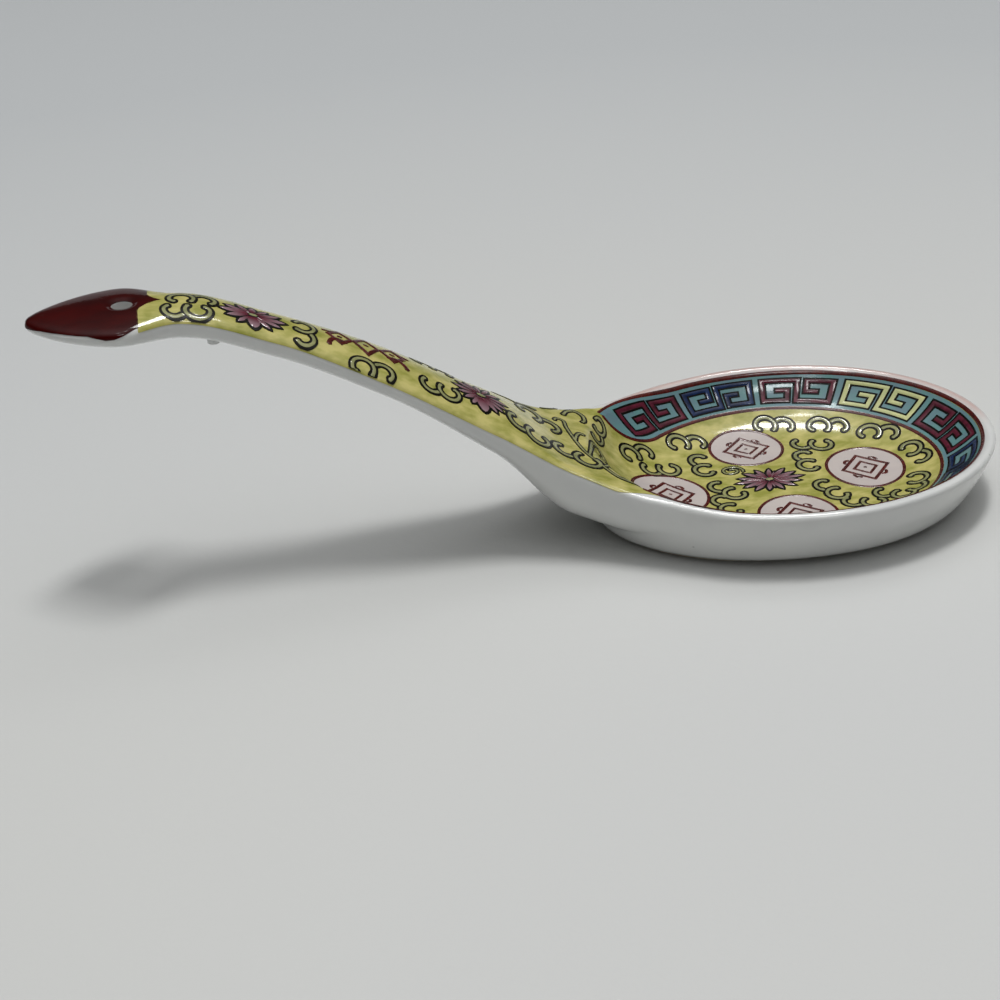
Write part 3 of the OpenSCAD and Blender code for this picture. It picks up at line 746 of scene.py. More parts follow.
@dataclass(frozen=True)
class Finish:
    """One fired finish: two tones that drift into each other under a gloss of its own."""

    name: str
    tone: Colour
    shade: Colour
    scale: float = 220.0
    drift: float = 0.8
    speckle: float = 0.0
    gloss: Pair = (0.1, 0.2)
    coat: float = 0.1
    ripple: float = 0.25
    ripple_scale: float = 320.0
    tip: Optional[Colour] = None
    blush: Optional[Colour] = None
    ior: float = 1.5

    @cache
    def material(self) -> bpy.types.Material:
        """The finish as a material, built once."""
        material, wire, inputs, place = Wiring.principled(self.name)
        colour = wire.add("Group", {"node_tree": brushed_tone()}, Place=place, Tone=(*self.tone, 1.0),
                          Shade=(*self.shade, 1.0), Scale=self.scale, Drift=self.drift,
                          Speckle=self.speckle).outputs["Color"]
        for name, low, high, over in (("along", 0.2, 0.95, self.tip), ("blush", 0.0, 1.0, self.blush)):
            if over is not None:
                share = wire.add("Attribute", {"attribute_name": name}).outputs["Fac"]
                colour = wire.blend(wire.ramp(share, low, high), colour, (*over, 1.0))
        ripple = wire.add("Group", {"node_tree": glaze_ripple()}, Place=place, Scale=self.ripple_scale).outputs
        bump = wire.add("Bump", Height=ripple["Height"], Strength=self.ripple, Distance=0.0002)
        for name, value in (("Base Color", colour), ("Roughness", wire.ramp(ripple["Wear"], 0.0, 1.0, *self.gloss)),
                            ("Normal", bump.outputs["Normal"]), ("Coat Weight", self.coat),
                            ("Coat Roughness", 0.04), ("IOR", self.ior)):
            wire.put(value, inputs[name])
        return material


PORCELAIN = Finish("clear_glaze", (0.68, 0.685, 0.665), (0.63, 0.635, 0.625), 90.0, 0.7, 0.5, (0.1, 0.18), 0.2,
                   blush=(0.50, 0.30, 0.26))
BISCUIT = Finish("bare_biscuit", (0.6, 0.54, 0.44), (0.48, 0.41, 0.32), 900.0, 0.9, 1.0, (0.7, 0.9), 0.0, 0.8,
                 2400.0)
LEMON = Finish("fired_lemon", (0.56, 0.50, 0.175), (0.30, 0.30, 0.06), 260.0, 1.0, 0.3, (0.08, 0.2))
OXBLOOD = Finish("fired_oxblood", (0.044, 0.0008, 0.0004), (0.024, 0.0005, 0.0003), 160.0, 0.9, 0.4, (0.06, 0.14),
                 0.0, ior=1.26)
TURQUOISE = Finish("fired_turquoise", (0.12, 0.27, 0.265), (0.14, 0.22, 0.27), 330.0, 0.9, 0.3)
PLUM = Finish("fired_plum", (0.125, 0.014, 0.032), (0.05, 0.006, 0.014), 420.0, 0.9, 0.3)
BLUE = Finish("fired_blue", (0.012, 0.032, 0.115), (0.004, 0.010, 0.038), 420.0, 0.9, 0.3)
STRAW = Finish("fired_straw", (0.60, 0.60, 0.28), (0.46, 0.50, 0.24), 420.0, 0.8, 0.3)
IRON_RED = Finish("brushed_iron_red", (0.10, 0.008, 0.004), (0.04, 0.004, 0.003), 700.0, 0.9, 0.0, (0.15, 0.3))
WHITE = Finish("reserve_glaze", (0.56, 0.50, 0.465), (0.50, 0.44, 0.425), 160.0, 0.7, 0.4)
OLIVE = Finish("fired_olive", (0.31, 0.31, 0.135), (0.19, 0.20, 0.08), 500.0, 0.9, 0.2)
OUTLINE = Finish("brushed_black", (0.003, 0.0025, 0.0015), (0.007, 0.006, 0.0035), 900.0, 0.9, 0.0, (0.25, 0.4),
                 0.0, ior=1.22)
PETAL = Finish("fired_petal", (0.12, 0.011, 0.026), (0.07, 0.007, 0.016), 600.0, 0.8, 0.2, tip=(0.30, 0.19, 0.215))


@dataclass
class Part:
    """A sub-assembly of the spoon that lies on its skin."""

    skin: Skin
    brush: Brush = field(default_factory=Brush)

    @staticmethod
    def paint(piece: Piece, *finishes: Finish) -> Piece:
        """Gives a piece its finishes, in the order of its material slots."""
        piece.data.materials.clear()
        for finish in finishes:
            piece.data.materials.append(finish.material())
        return piece

    def own(self, piece: Piece, slot: str, nodes: Sequence[str], *finishes: Finish) -> Piece:
        """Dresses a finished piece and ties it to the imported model.

        Args:
            piece: The piece.
            slot: The record's material slot.
            nodes: The CAD nodes that it stands for.
            finishes: Its finishes, in the order of its material slots; none keeps those it has.

        Returns:
            The piece.
        """
        if finishes:
            self.paint(piece, *finishes)
        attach(piece, BODY)
        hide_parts(*nodes)
        faces = len(piece.data.polygons)
        log.info("%s: %d faces, slot %s, stands for %s", piece.name, faces, slot, ", ".join(nodes))
        return piece

    def layer(self, name: str, sheets: Sequence[Piece], slot: str, node: str, *finishes: Finish,
              thickness: float = 0.1, smooth: float = 60.0) -> None:
        """Joins sheets that are already laid into one owned layer of enamel.

        Args:
            name: The piece's name.
            sheets: The sheets.
            slot: The record's material slot.
            node: The CAD node that it stands for.
            finishes: Its finishes; none keeps those that the sheets have.
            thickness: Thickness of the layer, downwards.
            smooth: Greatest angle that is shaded smooth.
        """
        piece = Bench.join(name, sheets)
        Bench.thicken(piece, thickness)
        Bench.smooth(piece, smooth)
        self.own(piece, slot, [node], *finishes)

    def bore(self, piece: Piece, grow: float = 0.0, smooth: float = 60.0) -> None:
        """Cuts the hanging hole, wider by grow, and shades the piece."""
        skin = self.skin
        tool = Bench.rod("bore", 64, skin.hole_radius + grow, 20, (skin.hole_x, 0, skin.bore_level))
        Bench.apply(piece, "BOOLEAN", operation="DIFFERENCE", object=tool, solver="EXACT")
        Bench.drop(tool)
        Bench.smooth(piece, smooth)


@dataclass
class Casting(Part):
    """The one porcelain casting with its foot and its kiln spur."""

    foot_inset: float = 0.4
    foot_lap: float = 0.05
    foot_bevel: float = 0.18
    spur_place: Pair = (-83.545, -2.0)
    spur_radius: float = 1.7
    spur_rise: float = 0.5
    spur_sunk: float = 0.5
    rim_tint: float = 0.75
    rim_tint_band: Pair = (0.55, 0.6)
    rim_tint_start: Pair = (-27.0, -6.0)
    rim_tint_fade: Pair = (6.0, 8.0)

    def body(self) -> None:
        """The glazed body: a grid wrapped round the outline, closed, and bored for hanging."""
        piece = Bench.grid("porcelain_body", self.skin.shell.transpose(1, 0, 2))
        Bench.mend(piece, 0.004, outwards=True)
        self.bore(piece, smooth=50)
        self.blush(piece)
        self.own(piece, "porcelain", ["bowl", "handle", "handle_head"], PORCELAIN)

    def blush(self, piece: Piece) -> None:
        """Marks the top of the far rim, away from the handle, with a faint pink tint, as the attribute "blush"."""
        x, y, z = Bench.places(piece).T
        inset = self.skin.to_oval(x, y) / self.skin.rim_width
        on_rim = clamp(1 - np.abs(inset - self.rim_tint_band[0]) / self.rim_tint_band[1]) * (z > self.skin.rim_height - 1.5)
        along, across = (ease((place - start) / fade)
                         for place, start, fade in zip((x, y), self.rim_tint_start, self.rim_tint_fade))
        Bench.mark(piece, "blush", on_rim * across * along * self.rim_tint)

    def foot(self) -> None:
        """The unglazed foot: an oval pad with an eased edge and a shallow middle."""
        piece = Bench.plate("foot_pad", 128, 1)
        x, y, z = Bench.places(piece).T
        r = 1 / self.skin.foot_out(x, y) - self.foot_inset
        Bench.shape(piece, np.stack([x * r, y * r, z], -1))
        with Bench.editing(piece):
            lift = (0, 0, (self.skin.foot_height + self.foot_lap) * MM)
            bpy.ops.mesh.extrude_region_move(TRANSFORM_OT_translate={"value": lift})
            bpy.ops.mesh.select_all(action="SELECT")
            bpy.ops.mesh.normals_make_consistent(inside=False)
        with Bench.editing(piece, bottom=True):
            bpy.ops.mesh.bevel(offset=self.foot_bevel * MM, segments=3, affect="EDGES")
        with Bench.editing(piece, bottom=True):
            bpy.ops.mesh.inset(thickness=2.2 * MM)
            bpy.ops.mesh.inset(thickness=0.5 * MM, depth=-0.15 * MM)
        Bench.smooth(piece, 40)
        self.own(piece, "unglazed_biscuit", ["foot"], BISCUIT)

    def spur(self) -> None:
        """The small scar of the kiln spur under the handle."""
        x, y = self.spur_place
        z = float(self.skin.under(np.array(x), np.array(y)))
        piece = Bench.rod("kiln_spur_scar", 32, self.spur_radius, self.spur_rise + self.spur_sunk,
                          (x, y, z + self.spur_sunk / 2 - self.spur_rise / 2))
        with Bench.editing(piece, bottom=True):
            bpy.ops.transform.resize(value=(0.5, 0.5, 1), center_override=(x * MM, y * MM, z * MM))
            bpy.ops.mesh.inset(thickness=0.2 * MM, depth=-0.05 * MM)
            bpy.ops.mesh.inset(thickness=0.12 * MM, depth=-0.06 * MM)
        Bench.apply(piece, "BEVEL", width=0.1 * MM, segments=2, limit_method="ANGLE")
        Bench.smooth(piece)
        self.own(piece, "porcelain", ["kiln_spur"], PORCELAIN, BISCUIT)
        for polygon in piece.data.polygons:
            from_axis = math.hypot(polygon.center.x - x * MM, polygon.center.y - y * MM)
            polygon.material_index = int(polygon.normal.z < -0.7 and from_axis < self.spur_radius * 0.45 * MM)

    def build(self) -> None:
        """Builds the three pieces."""
        self.body()
        self.foot()
        self.spur()


@dataclass
class Grounds(Part):
    """The lemon ground of bowl and handle, and the ox-blood enamel of the head."""

    over: float = 0.08
    thickness: float = 0.12
    scallop_x: float = -92.8
    far_scallop_x: float = -91.5
    cusp_x: float = -89.7
    cusp_share: float = 0.42
    lap: float = 0.12
    bowl_start: Pair = (-31.2, 5.8)
    rim_gap: float = 0.1
    pull_columns: int = 40
    bore_slack: float = 0.03
    tail: int = 24
    skirt_x: tuple[float, ...] = (-107.6, -105.5, -103.0, -99.3, -97.1, -96.0, -94.4, -93.2)
    skirt: tuple[float, ...] = (0.4, 0.0, -0.1, -0.1, 0.45, 0.4, -0.1, -0.5)

    def bracket(self, share: Points, far: bool) -> Points:
        """Where the head's enamel ends: two scallops that meet in a cusp on the middle line."""
        lift = clamp(1 - np.abs(share) / self.cusp_share) ** 1.7
        return mix(self.far_scallop_x if far else self.scallop_x, self.cusp_x, lift)

    def sheet(self, name: str, near: Points, far: Points) -> Piece:
        """A layer of enamel from two half sheets that meet on the middle line, half sunk in its carrier."""
        piece = Bench.grid(name, np.concatenate([near, far]))
        Bench.mend(piece, 0.004)
        Bench.face_up(piece)
        Bench.thicken(piece, self.thickness, 0.3)
        Bench.smooth(piece)
        return piece

    def lemon(self) -> None:
        """The lemon ground, from the head's bracket round the bowl's hollow."""
        skin = self.skin
        half = (len(skin.edges) - 1) // 2
        first = int(skin.near_column(np.array(self.scallop_x - self.lap))) - 1
        columns = np.arange(first, half + 1, dtype=float)
        x = skin.edges[columns.astype(int), 0]
        on_bowl = ease((x - self.bowl_start[0]) / self.bowl_start[1])
        inset = mix(-self.over, skin.rim_width + self.rim_gap, on_bowl)
        bound = skin.edge_share(columns, inset)
        shares = crowd(49)

        def half_sheet(is_far: bool) -> Points:
            """The sheet's half on one side, column by column."""
            pull = np.maximum(skin.near_column(self.bracket(shares, is_far) - self.lap) - first, 0)
            return np.array([skin.on_shell(c + pull * clamp(1 - (c - first) / self.pull_columns), shares * b)
                             for c, b in zip(columns, bound)])

        far = half_sheet(True)[::-1] * np.array([1.0, -1.0, 1.0])
        self.own(self.sheet("lemon_ground", half_sheet(False), far[1:]), "lemon_enamel",
                 ["bowl_ground", "handle_ground"], LEMON)

    def head(self) -> None:
        """The head's enamel, over the edge and some way down the flank."""
        skin = self.skin
        last, tip = float(skin.near_column(np.array(self.scallop_x))), skin.fan_columns - 1
        base = np.arange(0, int(last) - 3, dtype=float)
        rows = np.concatenate([base, base[-1] + np.arange(1, self.tail + 1) / self.tail * (last - base[-1])])
        x = np.interp(rows, np.arange(len(skin.edges)), skin.edges[:, 0])
        bound = skin.edge_share(rows, -np.interp(x, self.skirt_x, self.skirt))
        shares = crowd(45)

        def half_cap(is_far: bool) -> Points:
            """The cap's half on one side, row by row."""
            goal = [skin.near_column(self.bracket(shares * b, is_far)) for b in bound]
            return np.array([skin.on_shell(r + (g - last) * clamp((r - tip) / (last - tip)), shares * b)
                             for r, g, b in zip(rows, goal, bound)])

        far = half_cap(True)[:0:-1] * np.array([1.0, -1.0, 1.0])
        piece = self.sheet("oxblood_cap", far, half_cap(False))
        self.bore(piece, self.bore_slack)
        self.own(piece, "oxblood_enamel", ["head_enamel"], OXBLOOD)

    def build(self) -> None:
        """Builds both grounds."""
        self.lemon()
        self.head()


@dataclass
class FretBand(Part):
    """The turquoise band round the hollow with its red lines and its fret keys."""

    band_turn: float = 148.0
    low_share: float = 0.765
    high_share: float = 0.93
    end_turn: float = 154.8
    end_rim: float = 0.75
    rim_fade: Pair = (118.0, 34.0)
    round_turn: float = 14.0
    line_width: float = 0.5
    line_reach: float = 28.0
    tall: float = 6.5
    margin: float = 0.025
    key_width: float = 1.36
    outline: float = 0.34
    starts: tuple[float, ...] = (1.006, 0.9, 0.791, 0.681, 0.564, 0.455, 0.341, 0.228, 0.114, 0.0)
    kinds: tuple[str, ...] = ("plum", "blue", "plum", "straw")
    flips: tuple[bool, ...] = (False, True, False, False, True, False, False, True, False)

    def __post_init__(self) -> None:
        """Measures the oval and the band's slope, so that keys keep their size."""
        self.turns = np.linspace(-self.end_turn, self.end_turn, 1241)
        run = run_along(self.skin.oval(self.turns, (self.low_share + self.high_share) / 2))
        start, end = np.interp([-self.band_turn, self.band_turn], self.turns, run)
        self.run = (run - start) / (end - start)
        self.wide = (end - start) / len(self.flips) * (1 - self.margin)

    def high(self, turn: Points) -> Points:
        """The band's upper edge, as a share of the oval; the white rim narrows towards the handle."""
        length = np.linalg.norm(self.skin.oval(turn), axis=-1)
        fade = ease((np.abs(turn) - self.rim_fade[0]) / self.rim_fade[1])
        rim = mix(self.skin.rim_width, self.end_rim, fade)
        return 1 - (rim + self.line_width) / length

    def low(self, turn: Points) -> Points:
        """The band's lower edge, which rises to the upper one at the round ends."""
        u = clamp((np.abs(turn) - self.end_turn + self.round_turn) / self.round_turn)
        return mix(self.low_share, self.high(turn), 1 - np.sqrt(1 - u ** 2))

    def sweep(self) -> Points:
        """Turns along the whole band, close together round its ends."""
        arc = self.end_turn - self.round_turn * (1 - crowd(36))
        return np.concatenate([-arc[::-1], np.linspace(-arc[0], arc[0], 400)[1:-1], arc])

    def on_band(self, points: Points) -> Points:
        """Lays points on the band: x is a share along it, y a share up its slope and z a height."""
        skin, steps = self.skin, np.linspace(0, 1, 25)
        turn = np.interp(points[:, 0], self.run, self.turns)
        shares = mix(self.low(turn)[:, None], self.high(turn)[:, None], steps[None])
        plan = skin.oval(np.repeat(turn[:, None], len(steps), 1), shares)
        surface = np.concatenate([plan, skin.raw_top(plan[..., 0], plan[..., 1])[..., None]], -1)
        run = np.array([run_along(line) for line in surface])
        run /= run[:, -1:]
        share = np.array([np.interp(v, r, s) for v, r, s in zip(points[:, 1], run, shares)])
        return skin.lay(np.column_stack([skin.oval(turn, share), points[:, 2]]))

    def ground(self) -> None:
        """The turquoise ground of the band."""
        along = np.interp(self.sweep(), self.turns, self.run)
        u, v = np.meshgrid(along, np.linspace(0, 1, 13))
        flat = np.column_stack([u.ravel(), v.ravel(), np.full(u.size, 0.11)])
        sheet = Bench.grid("ground", self.on_band(flat).reshape(*u.shape, 3))
        Bench.mend(sheet)
        Bench.face_up(sheet)
        self.layer("fret_band_ground", [sheet], "turquoise_enamel", "fret_band", TURQUOISE, thickness=0.13)

    def line(self, name: str, node: str, width: float, edge: Mapping, side: int) -> None:
        """One iron-red line along an edge of the band, outside it or inside it as side is 1 or -1."""
        turn = self.sweep()
        path = self.skin.oval(turn, edge(turn) + side * self.line_width / 2 / self.line_reach)
        sheet = Bench.lay(self.brush.stroke(path, width, lift=0.12), self.skin.lay)
        self.layer(name, [sheet], "iron_red", node, IRON_RED, thickness=0.14)

    def flat_pair(self) -> list[Piece]:
        """One pair of keys, flat, in millimetres: the dark stroke and the coloured one on it."""
        spiral = [(0.42, 0.52), (0.77, 0.52), (0.77, 0.18), (0.14, 0.18), (0.14, 0.84), (1.0, 0.84)]
        corners = np.array(spiral + [(2 - x, 1 - y) for x, y in spiral[::-1]]) * [self.wide / 2, self.tall]
        first, last = unit(np.diff(corners, axis=0)[[0, -1]]) * self.outline
        inner = np.concatenate([[corners[0] + first], corners[1:-1], [corners[-1] - last]])
        width, draw, straight = self.key_width, self.brush.stroke, self.brush.straight
        return [draw(straight(corners), width, Cap.SQUARE, 0.0, 0.15),
                draw(straight(inner), width - 2 * self.outline, Cap.SQUARE, 0.04, 0.16)]

    def on_pair(self, points: Points, index: int) -> Points:
        """Lays the flat pair at one of its places on the band, turned over where flips says so."""
        u, v = points[:, 0] / self.wide, points[:, 1] / self.tall
        v = 1 - v if self.flips[index] else v
        u = mix(self.starts[index], self.starts[index + 1], mix(self.margin / 2, 1 - self.margin / 2, u))
        return self.on_band(np.column_stack([u, mix(self.margin, 1 - self.margin, v), points[:, 2]]))

    def keys(self) -> None:
        """The pairs of keys, from one model that is copied, turned over and laid on the band."""
        finishes = {"plum": PLUM, "blue": BLUE, "straw": STRAW}
        groups: dict[str, list[Piece]] = {kind: [] for kind in finishes}
        models = self.flat_pair()
        for i in range(len(self.flips)):
            kind = self.kinds[i % len(self.kinds)]
            for model, finish in zip(models, (OUTLINE, finishes[kind])):
                piece = self.paint(Bench.copy(model), finish)
                groups[kind].append(Bench.lay(piece, lambda points: self.on_pair(points, i), merge=False))
        Bench.drop(*models)
        for kind, pieces in groups.items():
            self.layer(f"{kind}_fret_keys", pieces, f"{kind}_enamel", f"{kind}_keys", smooth=50)

    def build(self) -> None:
        """Builds the band, its lines and its keys."""
        self.ground()
        self.line("rim_red_line", "rim_line", self.line_width - 0.05, self.high, 1)
        self.line("band_red_line", "band_line", self.line_width, self.low, -1)
        self.keys()


@dataclass
class Reserves(Part):
    """The white medallions with their red rings and plain lozenge knots."""

    places: tuple[Pair, ...] = ((12.7, -0.3), (-3.0, 10.3), (-19.1, -1.4), (-2.3, -11.2))
    stretch: tuple[Pair, ...] = ((1.0, 1.06), (1.0, 0.88), (0.99, 1.0), (1.0, 0.98))
    radius: float = 6.1
    ring_width: float = 0.5

    def knot(self) -> list[Piece]:
        """The generic knot: two lozenges, four small leaves round them and a dot within."""
        brush, (big, small) = self.brush, (self.radius * 0.6, self.radius * 0.3)
        strokes = [brush.lozenge(big, big, 0.52), brush.lozenge(small, small, 0.44)]
        leaf = np.array([[2.95, -0.8], [3.35, 0.0], [2.95, 0.8]])
        strokes += [brush.stroke(brush.smoothed(turned(leaf, turn)), 0.5) for turn in (45, 135, 225, 315)]
        dot = brush.smoothed([(-0.3, 0), (0.0, 0.05), (0.3, 0)])
        return strokes + [brush.stroke(dot, 0.5, rise=0.06)]

    def spread(self, models: Sequence[Piece]) -> list[Piece]:
        """Copies flat models to the four places and lays them."""
        pieces = []
        for place, stretch in zip(self.places, self.stretch):
            for model in models:
                pieces.append(Bench.lay(Bench.copy(model), lambda points: self.skin.lay(
                    points * [*stretch, 1] + [*place, 0])))
        Bench.drop(*models)
        return pieces

    def build(self) -> None:
        """Builds discs, rings and knots."""
        disc = Bench.dish(64, self.radius - 0.2, [(0.6, 0)] * 9)
        Bench.shape(disc, Bench.places(disc) + [0, 0, 0.12])
        self.layer("medallion_discs", self.spread([disc]), "white_reserve", "medallions", WHITE, thickness=0.12)
        turns, reach = np.linspace(0, 360, 121), self.radius - self.ring_width / 2
        wobble = 1 + 0.004 * np.sin(3 * np.radians(turns)) + 0.003 * np.sin(7 * np.radians(turns) + 1)
        hoop = polar(turns, reach, reach) * wobble[:, None]
        hoop = self.brush.stroke(hoop, self.ring_width, Cap.LOOP, lift=0.14)
        self.layer("medallion_red_rings", self.spread([hoop]), "iron_red", "medallion_rings", IRON_RED,
                   thickness=0.12)
        self.layer("medallion_lozenges", self.spread(self.knot()), "iron_red", "medallion_knots", IRON_RED)


Petals = list[tuple[float, float, float, float]]


def petals(*groups: tuple[float, float, Sequence[Pair]]) -> Petals:
    """Petals from groups that share a width and a bluntness, each petal with its turn and length share."""
    return [(turn, reach, width, blunt) for width, blunt, pairs in groups for turn, reach in pairs]


BLOSSOM = petals(
    (1.45, 0.25, [(0, 1.0), (24, 0.92), (50, 0.95), (78, 0.9), (104, 0.92), (130, 0.95), (156, 0.93), (180, 1.0),
                  (205, 0.93), (231, 0.95), (256, 0.9), (283, 0.92), (310, 0.95), (336, 0.92)]),
    (1.05, 0.4, [(12, 0.72), (64, 0.7), (117, 0.7), (168, 0.72), (218, 0.7), (270, 0.72), (323, 0.7)]))
LOTUS = petals(
    (1.7, 0.0, [(0, 1.0), (180, 1.0)]), (1.5, 0.2, [(30, 0.95), (150, 0.95), (330, 0.95), (210, 0.95)]),
    (1.4, 0.3, [(60, 0.95), (120, 0.95), (302, 0.95), (238, 0.95)]), (1.6, 0.6, [(90, 0.9)]),
    (2.3, 1.0, [(270, 1.0)]))
DAISY = [(8, 1.0, 1.4, 0.1), (36, 0.95, 1.35, 0.2), (64, 0.95, 1.3, 0.2), (92, 0.9, 1.3, 0.3), (120, 0.95, 1.3, 0.2),
         (146, 0.95, 1.35, 0.2), (172, 1.0, 1.4, 0.1), (197, 0.95, 1.4, 0.2), (219, 0.92, 1.4, 0.3),
         (343, 0.95, 1.4, 0.2), (320, 0.95, 1.4, 0.2), (299, 0.95, 1.4, 0.3), (240, 0.9, 1.5, 0.6),
         (268, 1.02, 2.4, 0.9)]


@dataclass
class Flowers(Part):
    """The flowers of the bowl and the handle: outlined petals round a small heart."""

    petal_edge: float = 0.36
    petal_inset: float = 0.5
    petal_step: float = 0.018
    heart_edge: float = 0.17

    def petal(self, length: float, width: float, start: float, blunt: float) -> list[Piece]:
        """One flat petal along +x: the dark leaf and the coloured one on it."""
        t = np.linspace(0, 1, 15)
        shape = np.sin(math.pi * t ** (1.25 - 0.45 * blunt)) ** mix(0.85, 0.55, blunt)
        shape[0] = shape[-1] = 0.0
        shape = np.maximum(shape, np.where((t > 0) & (t < 0.2), 0.3, 0.0))
        pieces = []
        for edge, inset, rise, lift, finish in ((0.0, 0.0, 0.0, 0.14, OUTLINE),
                                                (self.petal_edge, self.petal_inset, 0.05, 0.15, PETAL)):
            path = np.stack([mix(start + inset * 0.5, length - inset, t), np.zeros(15)], -1)
            leaf = self.brush.stroke(path, width - 2 * edge, Cap.SQUARE, rise, lift, profile=shape)
            pieces.append(self.paint(leaf, finish))
        return pieces

    def bloom(self, place: Pair, size: Pair, petals: Petals, heart: Pair) -> list[Piece]:
        """A flower laid at a place.

        Args:
            place: Its middle, in plan.
            size: Half lengths along and across the spoon.
            petals: Turn, length share, width and bluntness of each petal.
            heart: Half lengths of the heart.

        Returns:
            The laid sheets.
        """
        sheets = []
        for level, (turn, reach, width, blunt) in enumerate(petals):
            along, across = size[0] * math.cos(math.radians(turn)), size[1] * math.sin(math.radians(turn))
            heading, rise = math.degrees(math.atan2(across, along)), self.petal_step * (level % 3)
            for leaf in self.petal(math.hypot(along, across) * reach, width, min(heart) * 0.6, blunt):
                sheets.append(Bench.lay(leaf, lambda points: self.skin.lay(np.column_stack(
                    [turned(points[:, :2], heading) + place, points[:, 2] + rise]))))
        for edge, lift, finish in ((self.heart_edge, 0.21, OUTLINE), (0.0, 0.25, OLIVE)):
            disc = self.paint(Bench.dish(24, 1, [(0.3, 0.03), (0.3, 0.02)]), finish)
            sheets.append(Bench.lay(disc, lambda points: self.skin.lay(
                points * [heart[0] + edge, heart[1] + edge, 1] + [*place, lift])))
        return sheets

    def build(self) -> None:
        """Builds the bowl's flower and the two on the handle."""
        self.layer("bowl_blossom", self.bloom((-2.8, 0.0), (5.9, 4.1), BLOSSOM, (0.6, 0.35)), "plum_enamel",
                   "bowl_flower")
        sheets = self.bloom((-78.0, -1.0), (4.7, 3.3), LOTUS, (0.55, 0.3))
        sheets += self.bloom((-47.4, -0.6), (4.2, 4.4), DAISY, (0.6, 0.4))
        self.layer("handle_blossoms", sheets, "plum_enamel", "handle_flowers")


STEMS: Sequence[tuple[Sequence[Pair], float]] = (
    ([(-35.2, 6.2), (-34.6, 7.4), (-33.6, 7.0), (-33.7, 5.0), (-33.5, 2.1), (-33.1, -1.1), (-32.5, -3.4),
      (-31.6, -5.2), (-30.6, -7.6), (-29.4, -9.6), (-27.6, -10.8)], 0.55),
    ([(-33.4, 0.4), (-32.6, 2.6), (-31.8, 3.6), (-31.2, 2.9)], 0.6),
    ([(-32.3, -3.9), (-31.4, -1.2), (-30.4, 2.2), (-29.4, 3.4), (-28.7, 2.2), (-29.0, 0.4)], 0.6),
    ([(-30.9, -6.9), (-29.6, -5.4), (-28.8, -3.9), (-28.2, -4.4)], 0.6),
    ([(-33.2, 9.2), (-32.0, 11.2), (-30.6, 11.8), (-29.7, 10.4), (-30.0, 8.4), (-30.8, 8.3)], 0.66),
    ([(-29.4, -9.6), (-27.3, -10.9), (-25.6, -10.2), (-25.4, -8.7), (-26.4, -8.2)], 0.66),
    ([(-36.5, 10.2), (-34.6, 11.0), (-33.4, 12.2)], 0.45),
    ([(-44.5, 6.4), (-43.0, 7.3), (-41.4, 7.4), (-40.4, 6.6)], 0.6),
    ([(-40.6, 7.4), (-38.8, 8.3), (-37.4, 8.0)], 0.6))
TAILS: Sequence[tuple[Sequence[Pair], float]] = (
    ([(-5.3, -3.2), (-4.9, -1.9), (-4.0, -1.0), (-2.6, -1.5)], 0.62),
    ([(5.3, -3.0), (4.9, -1.8), (4.0, -1.0), (2.6, -1.5)], 0.62),
    ([(-5.9, 0.9), (-4.6, 1.1), (-3.4, 2.3)], 0.42),
    ([(5.9, 0.6), (4.6, 1.1), (3.4, 2.3)], 0.42))


